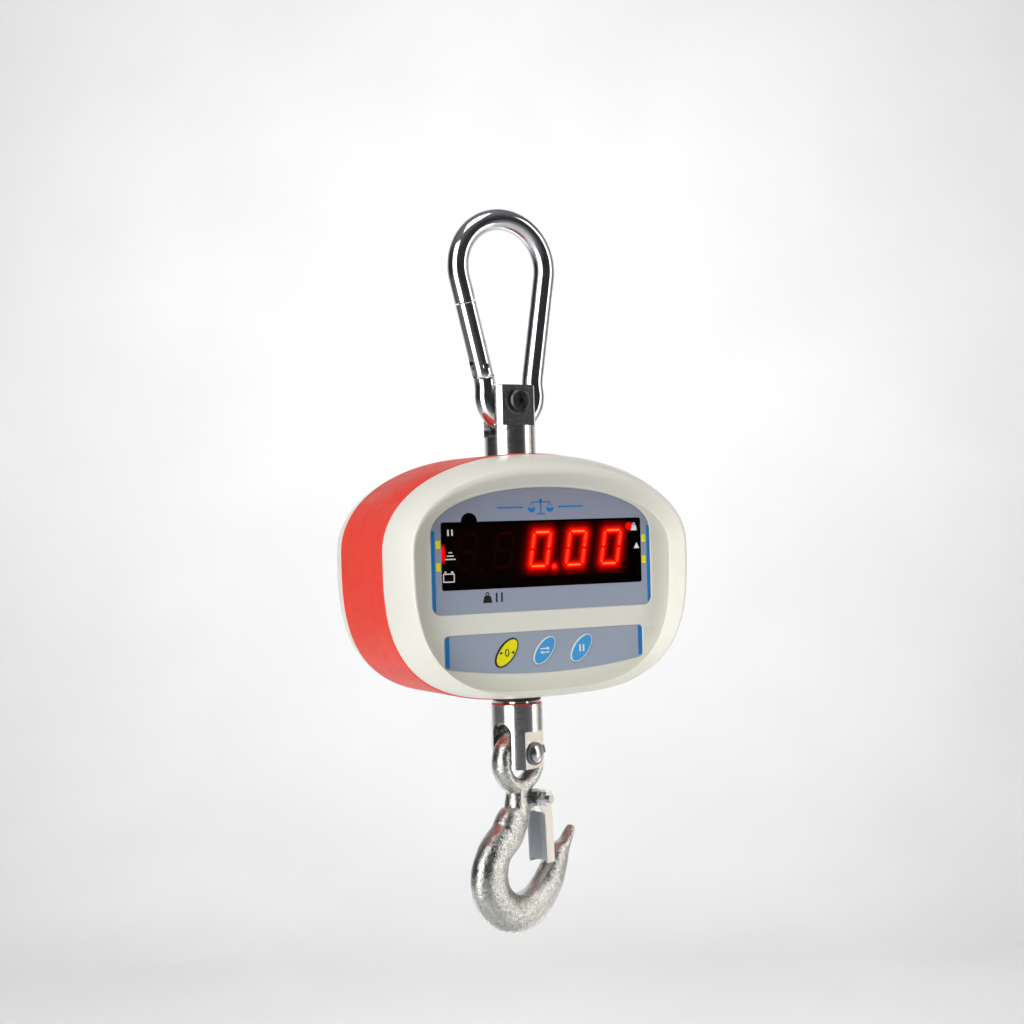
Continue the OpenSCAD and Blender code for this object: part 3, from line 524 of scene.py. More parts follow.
def moulded(name, base, rough=0.42, grain=2600, relief=0.16, drift=0.05, coat=0.0):
    """Moulded plastic: fine spark texture, slight colour drift and uneven gloss."""
    g = Graph(name)
    g.set(Coat_Weight=coat, Coat_Roughness=0.25)
    drifting = g.noise(28, 4)
    colour = g.ramp(drifting, [(0.3, scaled(base, 1 - drift)), (0.7, scaled(base, 1 + drift))])
    normal = g.bump(g.noise(grain, 2), relief, 0.00008)
    return g.finish(colour, g.span(g.noise(120, 3), rough - 0.06, rough + 0.07), normal)


def metal(name, base, rough, stretch=(1, 1, 1), grain=900, relief=0.12, stain=0.14, edge=None, spots=None):
    """Bare or plated metal: directional grain, light staining and a painted highlight on sharp edges."""
    g = Graph(name)
    g.set(Metallic=1.0)
    colour = g.ramp(g.noise(70, 5, roughness=0.6), [(0.28, scaled(base, 1 - stain)), (0.7, base)])
    if spots:
        speck = g.span(g.noise(spots, 4, roughness=0.65), 0, 1, 0.56, 0.68)
        colour = g.mix(speck, colour, scaled(base, 0.45))
    # The edge tone is a painted highlight on sharply convex edges.
    if edge:
        colour = g.painted_edge_highlight(colour, edge)
    normal = g.bump(g.noise(grain, 3, stretch), relief, 0.00012)
    return g.finish(colour, g.span(g.noise(160, 4, stretch), rough * 0.7, rough * 1.45), normal)


def forged(name, base):
    """Forged and zinc plated: hammered relief at two scales, pits and scale in the hollows."""
    g = Graph(name)
    g.set(Metallic=1.0)
    broad = g.noise(210, 4, roughness=0.6)
    fine = g.noise(720, 5, roughness=0.7)
    hollow = g.ramp(fine, [(0.36, scaled(base, 0.3)), (0.5, scaled(base, 0.9)), (0.66, base)])
    # Lighter crests and edges here are a painted highlight.
    colour = g.painted_edge_highlight(g.mix(0.85, base, hollow, "MULTIPLY"), scaled(base, 1.3))
    normal = g.bump(fine, 0.5, 0.0005, g.bump(broad, 0.55, 0.0012))
    return g.finish(colour, g.span(fine, 0.34, 0.13), normal)


def film(name, upper, lower):
    """Printed film: a slow change of tone up its height, a fine weave of print dots, satin face."""
    g = Graph(name)
    split = g.add("ShaderNodeSeparateXYZ")
    g.link(g.place, split.inputs["Vector"])
    height = g.span(split.outputs["Z"], 0, 1, (housing_z - 84) * MM, (housing_z + 30) * MM)
    colour = g.ramp(height, [(0.0, lower), (1.0, upper)])
    dots = g.span(g.noise(1900, 2), 0, 1, 0.35, 0.65)
    colour = g.mix(dots, colour, g.mix(0.09, colour, (1, 1, 1, 1)))
    return g.finish(colour, g.span(g.noise(300, 2), 0.3, 0.42), g.bump(g.noise(3000, 2), 0.1, 0.00005))


def print_ink(name, base, rough=0.35):
    """Printed or dyed patch with a slightly uneven density."""
    g = Graph(name)
    colour = g.ramp(g.noise(900, 3), [(0.3, scaled(base, 0.9)), (0.7, scaled(base, 1.06))])
    gloss = g.span(g.noise(400, 2), rough - 0.06, rough + 0.08)
    return g.finish(colour, gloss, g.bump(g.noise(2400, 2), 0.08, 0.00004))


def glowing(name, core, rim, strength):
    """Lit segment: hot in the middle and redder where the attribute falls off."""
    g = Graph(name)
    glow = g.add("ShaderNodeAttribute", attribute_name="glow")
    colour = g.ramp(glow.outputs["Fac"], [(0.0, (0, 0, 0, 1)), (0.45, rim), (0.72, rim), (1.0, core)])
    body = g.ramp(g.noise(700, 2), [(0.3, tone(9, 2, 2)), (0.7, tone(14, 3, 3))])
    g.link(colour, g.shader.inputs["Emission Color"])
    g.set(Emission_Strength=strength)
    return g.finish(body, g.span(g.noise(300, 2), 0.3, 0.4))


def tinted(name):
    """Dark red see-through acrylic with a polished face."""
    g = Graph(name)
    g.set(Transmission_Weight=1.0, IOR=1.2, Specular_IOR_Level=0.3)
    colour = g.ramp(g.noise(40, 2), [(0.3, tone(196, 120, 112)), (0.7, tone(202, 126, 118))])
    return g.finish(colour, g.span(g.noise(90, 2), 0.02, 0.05))


def board_material(name):
    """Solder mask with lighter tracks under it and pale pads."""
    g = Graph(name)
    wave = g.add("ShaderNodeTexWave", bands_direction="DIAGONAL")
    wave.inputs["Scale"].default_value = 160
    wave.inputs["Distortion"].default_value = 6
    g.link(g.place, wave.inputs["Vector"])
    colour = g.ramp(wave.outputs["Fac"], [(0.42, tone(14, 70, 36)), (0.58, tone(30, 104, 54))])
    return g.finish(colour, g.span(g.noise(200, 2), 0.25, 0.4), g.bump(wave.outputs["Fac"], 0.2, 0.0001))


CREAM = moulded("cream_shell", tone(233, 232, 221), 0.4, 2400, 0.14, 0.012, 0.1)
RED = moulded("red_band", tone(232, 62, 44), 0.5, 2000, 0.22, 0.03)
RUBBER = moulded("dark_rubber", tone(22, 22, 23), 0.62, 1500, 0.3, 0.12)
BLACK_PLASTIC = moulded("black_moulding", tone(26, 26, 28), 0.42, 2000, 0.3, 0.1)
BATTERY = moulded("battery_case", tone(62, 66, 74), 0.5, 1500, 0.35, 0.08)
# Where a metal is given an edge tone, that tone is a painted highlight on its sharp edges.
CHROME = metal("bright_zinc", tone(226, 228, 232), 0.1, grain=500, relief=0.05, stain=0.1,
               edge=tone(245, 246, 248))
TURNED = metal("turned_steel", tone(216, 216, 216), 0.17, (1, 1, 14), 700, 0.1, 0.12, tone(238, 238, 238))
MACHINED = metal("machined_steel", tone(186, 188, 192), 0.3, (1, 1, 9), 800, 0.2, 0.16, tone(220, 221, 223))
BEARING = metal("ground_steel", tone(212, 212, 216), 0.12, (1, 1, 5), 900, 0.06, 0.08)
BLACK_STEEL = metal("black_oxide", tone(52, 52, 56), 0.3, (1, 1, 1), 600, 0.22, 0.3, tone(110, 110, 114))
SPRING = metal("spring_wire", tone(120, 120, 124), 0.28, (1, 1, 1), 1200, 0.15, 0.2)
LATCH_ZINC = metal("latch_zinc", tone(206, 212, 220), 0.17, (4, 4, 1), 600, 0.14, 0.2,
                   tone(235, 238, 242), 240)
SCREW = metal("plated_screw", tone(200, 202, 206), 0.2, (1, 1, 1), 900, 0.12, 0.15)
SHEET = metal("galvanised_sheet", tone(190, 194, 198), 0.34, (1, 1, 1), 300, 0.2, 0.25, None, 120)
FORGED = forged("forged_zinc", tone(232, 232, 229))
FILM = film("printed_film", tone(138, 144, 166), tone(157, 169, 188))
BLUE = print_ink("blue_ink", tone(18, 124, 200))
SKY = print_ink("key_blue", tone(66, 164, 226))
YELLOW = print_ink("key_yellow", tone(247, 236, 8))
WHITE = print_ink("white_ink", tone(236, 238, 240))
BLACK = print_ink("black_ink", tone(14, 14, 15))
TINT = tinted("window_tint")
LIT = glowing("lit_segment", (1.0, 0.4, 0.05, 1), (1.0, 0.025, 0.01, 1), 7)
# Painted red glow that spills from the lit segments onto the module faces and from the status lamps onto the
# display rim.
HALO = glowing("module_face", (1.0, 0.012, 0.008, 1), (0.5, 0.004, 0.003, 1), 3.2)
DULL = print_ink("dark_segment", tone(60, 12, 11), 0.5)
MODULE = moulded("module_case", tone(17, 13, 13), 0.4, 1500, 0.2, 0.1)
BOARD = board_material("circuit_board")
CABLE = moulded("cable_jacket", tone(30, 30, 32), 0.5, 1200, 0.2, 0.12)
LEAD = moulded("red_lead", tone(170, 24, 18), 0.45, 1200, 0.2, 0.1)
RIBBON = moulded("grey_ribbon", tone(150, 150, 154), 0.5, 1200, 0.2, 0.08)


# ---- covers

def cover_rings(stations, steps):
    """Rings of the housing through stations: y, insets at side, top and bottom, powers above and below."""
    return [at_y(superellipse(HALF_W - side, TOP_H - top, BOTTOM_H - low, tp, bp), y)
            for y, side, top, low, tp, bp in catmull(stations, steps)]


def front_cover():
    stations = [
        (FRONT_SEAM_Y + 0.5, 0.7, 0.7, 0.7, TOP_POWER, BOTTOM_POWER),
        (-40, 1.6, 1.6, 1.6, TOP_POWER, 3.04),
        (-50, 3.2, 3.4, 3, TOP_POWER, 3),
        (-56, 4.8, 6, 3.8, TOP_POWER, 2.95),
        (-59.5, 6.2, 9.5, 4.6, 2.2, 2.95),
        (-60.4, 7.4, 12.5, 5.4, 2.3, 3),
        (-59.2, 8.8, 15.4, 6, 2.25, 3.05),
        (-52, 10.6, 19.4, 6.5, 2.15, 3.1),
        (PANEL_FACE_Y, 11.5, 22.4, 6.85, TOP_POWER, PANEL_POWER)]
    build = Build(HOUSING)
    rim = at_y(inset_ring(1.3), FRONT_SEAM_Y)
    outside = build.loft([rim] + cover_rings(stations, 6))
    inner = [at_y(inset_ring(INNER_INSET), FRONT_SEAM_Y), at_y(inset_ring(INNER_INSET + 1), -38),
             at_y(superellipse(HALF_W - 8, TOP_H - 9, BOTTOM_H - 6, TOP_POWER, PANEL_POWER), PANEL_BACK_Y)]
    inside = build.loft(inner)
    build.bridge(outside[0], inside[0])
    pockets = []
    for outline in (display_outline, keypad_outline):
        pockets.append(build.loft([at_y(outline(0.75), PANEL_FACE_Y), at_y(outline(0.4), PANEL_FACE_Y + 0.25),
                                   at_y(outline(0.25), PANEL_Y)]))
    build.sheet([outside[-1]] + [loops[0] for loops in pockets])
    window = build.loft([at_y(window_outline(0.1), y) for y in (PANEL_Y, PANEL_BACK_Y)])
    keys = [build.loft([at_y(key_outline(i, 0.4), y) for y in (PANEL_Y, PANEL_BACK_Y)]) for i in range(3)]
    build.sheet([pockets[0][-1], window[0]])
    build.sheet([pockets[1][-1]] + [key[0] for key in keys])
    build.sheet([inside[-1], window[-1]] + [key[-1] for key in keys])
    piece("front_shell", build.mesh("front_shell"), [CREAM], "scale_body", ["front_cover"], 28)


def centre_band():
    build = Build(HOUSING)
    profile = [(FRONT_SEAM_Y, 1.1), (FRONT_SEAM_Y + 0.25, 0.35), (FRONT_SEAM_Y + 0.9, 0),
               (REAR_SEAM_Y - 0.9, 0), (REAR_SEAM_Y - 0.25, 0.35), (REAR_SEAM_Y, 1.1)]
    rings = [at_y(inset_ring(inset), y) for y, inset in profile]
    rings += [at_y(inset_ring(INNER_INSET), y) for y in (REAR_SEAM_Y, FRONT_SEAM_Y)]
    build.loft(rings, closed=True)
    holes = [rod(HOUSING, 41, 40, 80, "Z", 96), rod(HOUSING, 34.4, -112, -60, "Z", 96)]
    mesh = combined(build.mesh("band"), holes, "DIFFERENCE")
    piece("red_centre_band", mesh, [RED], "scale_body", ["centre_band"], 28)


REAR_PROFILE = [(REAR_SEAM_Y, 0.7), (52, 1.9), (60, 5), (67, 10), (73, 18), (77, 28), (BACK_Y, 34)]
POSTS = [(90, 8), (-90, 8), (84, -52), (-84, -52)]
POST_END_Y = 62
SOCKET = (-50, -24)
SWITCH = (-50, 6)
REAR_WALL = 2.6
FLOOR_WALL = 2.4


def rear_cover():
    profile = catmull(REAR_PROFILE, 5)
    build = Build(HOUSING)
    rings = [at_y(inset_ring(1.3), REAR_SEAM_Y)] + [at_y(inset_ring(inset), y) for y, inset in profile[1:]]
    outside = build.loft(rings)
    build.cap(outside[-1])
    inside = build.loft([at_y(inset_ring(inset + REAR_WALL), y - FLOOR_WALL * min(1, k / 8))
                         for k, (y, inset) in enumerate(profile)])
    build.cap(inside[-1])
    build.bridge(outside[0], inside[0])
    tools = []
    for x, z in POSTS:
        spot = HOUSING @ moved(x, 0, z)
        tools += [rod(spot, 8.4, POST_END_Y + 3, BACK_Y + 1)]
    spot = HOUSING @ moved(SOCKET[0], 0, SOCKET[1])
    tools += [rod(spot, 12.2, BACK_Y - 10, BACK_Y + 1), rod(spot, 20, BACK_Y - 1.2, BACK_Y + 1)]
    spot = HOUSING @ moved(SWITCH[0], 0, SWITCH[1])
    tools += [brick(spot, (-10.6, BACK_Y - 10, -6.6), (10.6, BACK_Y + 1, 6.6)),
              brick(spot, (-12.6, BACK_Y - 1.2, -8.6), (12.6, BACK_Y + 1, 8.6))]
    mesh = combined(build.mesh("rear"), tools, "DIFFERENCE")
    piece("rear_shell", mesh, [CREAM], "scale_body", ["rear_cover"], 28)


# ---- display and keypad

def end_bar(outline, side, from_x, top_z):
    """Part of an outline beyond from_x on one side, for the coloured bar at its end."""
    points = [p for p in outline if p[0] * side > from_x and p[1] < top_z]
    points.sort(key=lambda p: p[1])
    return points + [(side * from_x, points[-1][1]), (side * from_x, points[0][1])]


def display_film():
    build = Build(HOUSING)
    build.drilled_plate(display_outline(), [window_outline(0.1)], FILM_Y, PANEL_Y)
    mesh = build.mesh("display_film")
    piece("display_film", mesh, [FILM], "scale_body", ["display_overlay"])
    marks = Build(HOUSING)
    for side in (-1, 1):
        marks.plate(end_bar(display_outline(-0.2), side, 83.6, 16), FILM_Y - 0.05, FILM_Y, 0, 0)
        for z in (6, -9):
            marks.plate(round_box(side * 81.2, z, 3.4, 5.4, 0.3), FILM_Y - 0.05, FILM_Y, 0, 1)
    balance_sign(marks, -2, 29.6)
    weight_sign(marks, -45, -31, 2)
    mesh = marks.mesh("display_marks")
    piece("display_marks", mesh, [BLUE, YELLOW, BLACK], "scale_body")


def balance_sign(build, x, z):
    """Generic beam balance with a rule each side of it."""
    outlines = [bar(x, z - 4.6, x, z + 4.6, 0.9), bar(x - 3.4, z - 4.8, x + 3.4, z - 4.8, 0.9),
                bar(x - 7.4, z + 3.4, x + 7.4, z + 3.4, 0.9), disc(x, z + 4.7, 0.9)]
    for side in (-1, 1):
        pan_x = x + side * 7.2
        outlines += [arc(pan_x, z - 0.6, 3, 180, 360, 12), bar(x + side * 14, z, x + side * 34, z, 1.1)]
        outlines += [bar(pan_x, z + 3.2, pan_x + reach, z - 0.6, 0.4) for reach in (-2.4, 2.4)]
    for outline in outlines:
        build.plate(outline, FILM_Y - 0.05, FILM_Y, 0, 0)


def weight_sign(build, x, z, kind):
    """Generic hanging weight: a tapered block under a ring."""
    y0, y1 = FILM_Y - 0.05, FILM_Y
    block = [(x - 3.6, z - 3.2), (x + 3.6, z - 3.2), (x + 2.4, z + 1.4), (x - 2.4, z + 1.4)]
    build.plate(block, y0, y1, 0, kind)
    build.drilled_plate(disc(x, z + 2.6, 1.5), [disc(x, z + 2.6, 0.8)], y0, y1, kind)
    for dx in (7, 11):
        build.plate(bar(x + dx, z - 3, x + dx, z + 3.4, 1.3), y0, y1, 0, kind)


def keypad_film():
    build = Build(HOUSING)
    build.drilled_plate(keypad_outline(), [key_outline(i, 0.4) for i in range(3)], FILM_Y, PANEL_Y)
    piece("keypad_film", build.mesh("keypad_film"), [FILM], "scale_body", ["keypad_overlay"])
    marks = Build(HOUSING)
    for side in (-1, 1):
        marks.plate(end_bar(keypad_outline(-0.2), side, 74.6, -50), FILM_Y - 0.05, FILM_Y)
    piece("keypad_marks", marks.mesh("keypad_marks"), [BLUE], "scale_body")


def window():
    build = Build(HOUSING)
    build.plate(window_outline(), FILM_Y - 0.1, PANEL_BACK_Y)
    mesh = build.mesh("display_glass")
    piece("display_glass", mesh, [TINT], "scale_body", ["display_window"])
    icons = Build(HOUSING)
    y0, y1 = FILM_Y - 0.14, FILM_Y - 0.1
    left, right = -71.6, 73.4
    for outline in (bar(left - 2, 11.6, left - 2, 15.8, 1.2), bar(left + 1, 11.6, left + 1, 15.8, 1.2),
                    bar(left - 4.6, -4, left + 3.2, -4, 0.8), bar(left - 3.4, -1.8, left + 2, -1.8, 0.8),
                    bar(left - 2, 0.4, left + 0.6, 0.4, 0.8),
                    bar(left - 5.4, -12.6, left - 3.8, -12.6, 1.1),
                    bar(left - 0.4, -12.6, left + 1.2, -12.6, 1.1),
                    [(right - 2.6, 11.6), (right + 2.6, 11.6), (right + 1.7, 15.2), (right - 1.7, 15.2)],
                    [(right - 0.6, -1), (right + 4.2, -1), (right + 1.8, 3.2)]):
        icons.plate(outline, y0, y1)
    icons.drilled_plate(disc(right, 16, 1.1), [disc(right, 16, 0.55)], y0, y1)
    cell = round_box(left - 2.1, -16.4, 8.6, 6, 0.6)
    icons.drilled_plate(cell, [round_box(left - 2.1, -16.4, 7.2, 4.6, 0.3)], y0, y1)
    piece("window_icons", icons.mesh("window_icons"), [WHITE], "scale_body")


SEG_W, SEG_H, SEG_T, SLANT = 6.5, 11.6, 2.5, math.tan(math.radians(10))
SEGMENTS = {
    "a": (-SEG_W, SEG_H, SEG_W, SEG_H), "b": (SEG_W, SEG_H, SEG_W, 0), "c": (SEG_W, 0, SEG_W, -SEG_H),
    "d": (-SEG_W, -SEG_H, SEG_W, -SEG_H), "e": (-SEG_W, 0, -SEG_W, -SEG_H),
    "f": (-SEG_W, SEG_H, -SEG_W, 0), "g": (-SEG_W, 0, SEG_W, 0)}
ZERO = "abcdef"
DIGITS = range(-2, 3)
POINT_AT = (10.4, -11.6)


def segment_ends(digit, name):
    """Ends of a segment's centreline on a digit, counted from -2 on the left, pulled in at the joints."""
    x0, z0, x1, z1 = SEGMENTS[name]
    n = math.hypot(x1 - x0, z1 - z0)
    cut = 1.0 / n
    ends = []
    for t in (cut, 1 - cut):
        x, z = x0 + (x1 - x0) * t, z0 + (z1 - z0) * t
        ends.append((digit * DIGIT_PITCH + x + z * SLANT, DIGIT_Z + z))
    return ends


def segment_outline(ends, width):
    (x0, z0), (x1, z1) = ends
    n = math.hypot(x1 - x0, z1 - z0)
    ux, uz = (x1 - x0) / n, (z1 - z0) / n
    px, pz = -uz * width / 2, ux * width / 2
    tip = width / 2
    return [(x0, z0), (x0 + ux * tip + px, z0 + uz * tip + pz), (x1 - ux * tip + px, z1 - uz * tip + pz),
            (x1, z1), (x1 - ux * tip - px, z1 - uz * tip - pz), (x0 + ux * tip - px, z0 + uz * tip - pz)]


LIT_STROKES = [segment_ends(digit, name) for digit in (0, 1, 2) for name in ZERO]
LIT_POINTS = [POINT_AT]


def stroke_distance(x, z, ends):
    (x0, z0), (x1, z1) = ends
    dx, dz = x1 - x0, z1 - z0
    t = max(0, min(1, ((x - x0) * dx + (z - z0) * dz) / (dx * dx + dz * dz)))
    return math.hypot(x - x0 - t * dx, z - z0 - t * dz)


def glow_at(x, z):
    """Distance to the nearest lit stroke or point."""
    strokes = [stroke_distance(x, z, ends) for ends in LIT_STROKES]
    return min(strokes + [math.hypot(x - a, z - b) for a, b in LIT_POINTS])


def set_glow(mesh, rule):
    """Writes a number from a place's x and z in the housing's frame on each vertex."""
    attribute = mesh.attributes.new("glow", "FLOAT", "POINT")
    back = HOUSING.inverted()
    for vertex in mesh.vertices:
        place = back @ (vertex.co / MM)
        attribute.data[vertex.index].value = rule(place.x, place.z)


def lit_segment(build, ends):
    """Segment that rises to a narrow ridge along its middle, where it is hottest."""
    (x0, z0), (x1, z1) = ends
    dx, dz = (x1 - x0) * 0.07, (z1 - z0) * 0.07
    outline = segment_outline(ends, SEG_T)
    ridge = segment_outline([(x0 + dx, z0 + dz), (x1 - dx, z1 - dz)], SEG_T * 0.35)
    loops = build.loft([at_y(outline, DIGIT_FACE_Y - 0.04), at_y(outline, DIGIT_FACE_Y - 0.15),
                        at_y(ridge, DIGIT_FACE_Y - 0.2)])
    build.sheet([loops[0]])
    build.sheet([loops[-1]])


def digits():
    cases = Build(HOUSING)
    for digit in DIGITS:
        cases.plate(round_box(digit * DIGIT_PITCH, DIGIT_Z, 27.6, 38, 0.5), DIGIT_FACE_Y, -30.5, 0.3)
    piece("digit_cases", cases.mesh("digit_cases"), [MODULE], "scale_body", ["led_digits"])

    # Sheet over the module faces: their dark colour, with a painted red glow round the lit segments.
    face = Build(HOUSING)
    cell, reach_x, reach_z = 0.6, 71.4, 18.6
    columns, rows = int(2 * reach_x / cell), int(2 * reach_z / cell)
    for j in range(rows + 1):
        z = DIGIT_Z - reach_z + j * cell
        face.ring([(-reach_x + i * cell, DIGIT_FACE_Y - 0.03, z) for i in range(columns + 1)])
    for j in range(rows):
        for i in range(columns):
            k = j * (columns + 1) + i
            face.face((k, k + 1, k + columns + 2, k + columns + 1))
    mesh = face.mesh("digit_faces")
    # Painted glow, strongest next to the lit strokes and fading with distance.
    set_glow(mesh, lambda x, z: 0.75 * math.exp(-max(glow_at(x, z) - 1.0, 0) / 1.5))
    piece("digit_faces", mesh, [HALO], "scale_body")

    lit, dark = Build(HOUSING), Build(HOUSING)
    for digit in DIGITS:
        for name in SEGMENTS:
            ends = segment_ends(digit, name)
            if digit < 0:
                dark.plate(segment_outline(ends, SEG_T * 0.85), DIGIT_FACE_Y - 0.1, DIGIT_FACE_Y - 0.04)
            elif name in ZERO:
                lit_segment(lit, ends)
    for digit in DIGITS:
        spot = (digit * DIGIT_PITCH + POINT_AT[0], POINT_AT[1])
        target = lit if digit == 0 else dark
        target.solid([at_y(disc(*spot, r), y) for r, y in
                      ((1.7, DIGIT_FACE_Y - 0.04), (1.7, DIGIT_FACE_Y - 0.15), (0.8, DIGIT_FACE_Y - 0.2))])
    mesh = lit.mesh("lit_segments")
    set_glow(mesh, lambda x, z: 1.0 - 0.75 * min(glow_at(x, z) / (SEG_T / 2), 1))
    piece("lit_segments", mesh, [LIT], "scale_body")
    piece("dark_segments", dark.mesh("dark_segments"), [DULL], "scale_body")


LAMPS = (("stable_lamp", -76.2, -0.5, (2.2, 7)), ("unit_lamp", 71.4, 14.6, (4.6, 3.4)))
LAMP_SIDES = 28
LAMP_Y = PANEL_BACK_Y + 0.35


def lamp_glow():
    """Red light that the two lit status lamps throw on the rim of the display."""
    for name, x, z, (wide, high) in LAMPS:
        patch = Build(HOUSING)
        centre = patch.ring([(x, LAMP_Y, z)])[0]
        rings = [patch.ring(at_y(ellipse(x, z, wide * k / 5, high * k / 5, 0, LAMP_SIDES), LAMP_Y))
                 for k in range(1, 6)]
        for i in range(LAMP_SIDES):
            patch.face((centre, rings[0][i], rings[0][(i + 1) % LAMP_SIDES]))
        for a, b in zip(rings, rings[1:]):
            patch.bridge(a, b)
        mesh = patch.mesh(name)
        set_glow(mesh, lambda px, pz: 0.9 * max(0, 1 - math.hypot((px - x) / wide, (pz - z) / high)) ** 0.8)
        piece(name, mesh, [HALO], "scale_body")


def key(index, name, face_ink, rim_ink, sign):
    """Domed key cap with a printed rim and a pictogram in the rim's colour."""
    build = Build(HOUSING)
    stations = ((1.5, PANEL_BACK_Y + 1.3), (1.5, PANEL_BACK_Y + 0.3), (0, PANEL_BACK_Y + 0.3), (0, -45.25),
                (-0.18, -45.42), (-0.75, -45.47))
    rim = build.loft([at_y(key_outline(index, grow), y) for grow, y in stations], 1)
    build.cap(rim[0], 1)
    dome = [rim[-1]]
    for share in (0.85, 0.65, 0.4, 0.2):
        y = -45.47 - 0.11 * (1 - share * share)
        dome.append(build.ring(at_y(ellipse(KEY_X[index], KEY_Z, (KEY_LONG - 0.75) * share,
                                            (KEY_SHORT - 0.75) * share, KEY_TILT), y)))
    for a, b in zip(dome, dome[1:]):
        build.bridge(a, b, 0)
    build.cap(dome[-1], 0)
    stem = disc(KEY_X[index], KEY_Z, 2)
    build.solid([at_y(stem, y) for y in (PANEL_BACK_Y + 1, -39.6)], 1)
    for outline in sign(KEY_X[index], KEY_Z):
        if isinstance(outline, tuple):
            build.drilled_plate(outline[0], [outline[1]], -45.6, -45.5, 1)
        else:
            build.plate(outline, -45.6, -45.5, 0, 1)
    piece(name + "_cap", build.mesh(name), [face_ink, rim_ink], name, [name])


def zero_sign(x, z):
    return [(ellipse(x, z, 1.7, 2.7, 0), ellipse(x, z, 0.9, 1.9, 0)),
            [(x - 5.4, z + 1.1), (x - 5.4, z - 1.1), (x - 3, z)],
            [(x + 5.4, z - 1.1), (x + 5.4, z + 1.1), (x + 3, z)]]


def unit_sign(x, z):
    return [bar(x - 3.6, z + 1.2, x + 1.8, z + 1.2, 0.8),
            [(x + 1.6, z + 2.4), (x + 1.6, z), (x + 4, z + 1.2)],
            bar(x + 3.6, z - 1.4, x - 1.8, z - 1.4, 0.8),
            [(x - 1.6, z - 2.6), (x - 1.6, z - 0.2), (x - 4, z - 1.4)]]


def hold_sign(x, z):
    return [bar(x - 1.4, z - 2.4, x - 1.4, z + 2.4, 1.3), bar(x + 1.4, z - 2.4, x + 1.4, z + 2.4, 1.3)]


# ---- carabiner

def leg_point(distance):
    lean = math.radians(LEG_LEAN)
    reach = SMALL_END_R + NECK_BEND_R
    x = reach * math.cos(math.radians(NECK_TURN)) - NECK_BEND_R * math.cos(lean)
    z = SMALL_END_RISE + reach * math.sin(math.radians(NECK_TURN)) + NECK_BEND_R * math.sin(lean)
    return x + distance * math.sin(lean), z + distance * math.cos(lean)


def wire_route():
    """Centreline from the gate's lower end, round the small end and the big end, to the gate's top."""
    neck_x, neck_z = leg_point(0)
    lean = math.radians(LEG_LEAN)
    big_r = neck_x * math.cos(lean) + (BIG_END_RISE - neck_z) * math.sin(lean)
    reach = SMALL_END_R + NECK_BEND_R
    bend_x = reach * math.cos(math.radians(NECK_TURN))
    bend_z = reach * math.sin(math.radians(NECK_TURN))
    neck = arc(bend_x, SMALL_END_RISE + bend_z, NECK_BEND_R, 180 + NECK_TURN, 180 - LEG_LEAN, 6)
    small = arc(0, SMALL_END_RISE, SMALL_END_R, 180 - NECK_TURN, 360 + NECK_TURN, 40)
    big = arc(0, BIG_END_RISE, big_r, -LEG_LEAN, 180 + LEG_LEAN, 60)
    left_neck = [(-x, z) for x, z in reversed(neck)]
    low, high = leg_point(RIVET_AT), leg_point(GATE_TOP_AT + 0.75)
    return [(-low[0], low[1])] + left_neck + small[1:-1] + neck + big + [(-high[0], high[1])]


SLIT = TONGUE / 2 + 0.3
CATCH_AT = 61


def carabiner():
    wire = tube(CARABINER, wire_route(), WIRE_D)
    wire = combined(wire, [rod(LEG, 19.4, -WIRE_D, WIRE_D)], "DIFFERENCE")
    stub = brick(LEG, (-4.5, -TONGUE / 2, -11.5), (4.5, TONGUE / 2, 0))
    wire = combined(wire, [rod(LEG, 10, -TONGUE / 2, TONGUE / 2), stub], "UNION")
    top = GATE_TOP_AT - RIVET_AT
    slot = brick(LEG, (-5.5, -SLIT, top - 1), (WIRE_D, SLIT, top + 11.2))
    wire = combined(wire, [slot, rod(LEG, 4.6, -3, 3)], "DIFFERENCE")
    piece("carabiner_wire", wire, [CHROME], "carabiner", ["carabiner_body"], 40)

    build = Build(LEG)
    stations = [(-9.3, 3.2), (-9.0, 5.0), (-8.0, 6.6), (-6.2, 7.35), (-3.5, 7.5), (top - 0.5, 7.5),
                (top, 7.05)]
    build.solid([[(r * math.cos(t), r * math.sin(t), z) for t in (2 * math.pi * i / 48 for i in range(48))]
                 for z, r in stations])
    fork = brick(LEG, (-WIRE_D, -SLIT, -WIRE_D), (WIRE_D, SLIT, 6))
    tools = [fork, rod(LEG, 4.5, -WIRE_D, WIRE_D), rod(LEG, 5.4, 5, 30, "Z")]
    sleeve = combined(build.mesh("sleeve"), tools, "DIFFERENCE")
    tongue = brick(LEG, (-4, -TONGUE / 2, top - 1), (4.5, TONGUE / 2, top + 9.6))
    catch = LEG @ moved(0, 0, CATCH_AT - RIVET_AT)
    notch = brick(catch, (-WIRE_D, -WIRE_D, -1.95), (0, WIRE_D, 1.95))
    tongue = combined(tongue, [rod(catch, 3.9, -WIRE_D, WIRE_D), notch], "DIFFERENCE")
    sleeve = combined(sleeve, [tongue], "UNION")
    piece("gate_tube", sleeve, [CHROME], "gate", ["gate_sleeve"], 40)


# ---- hook

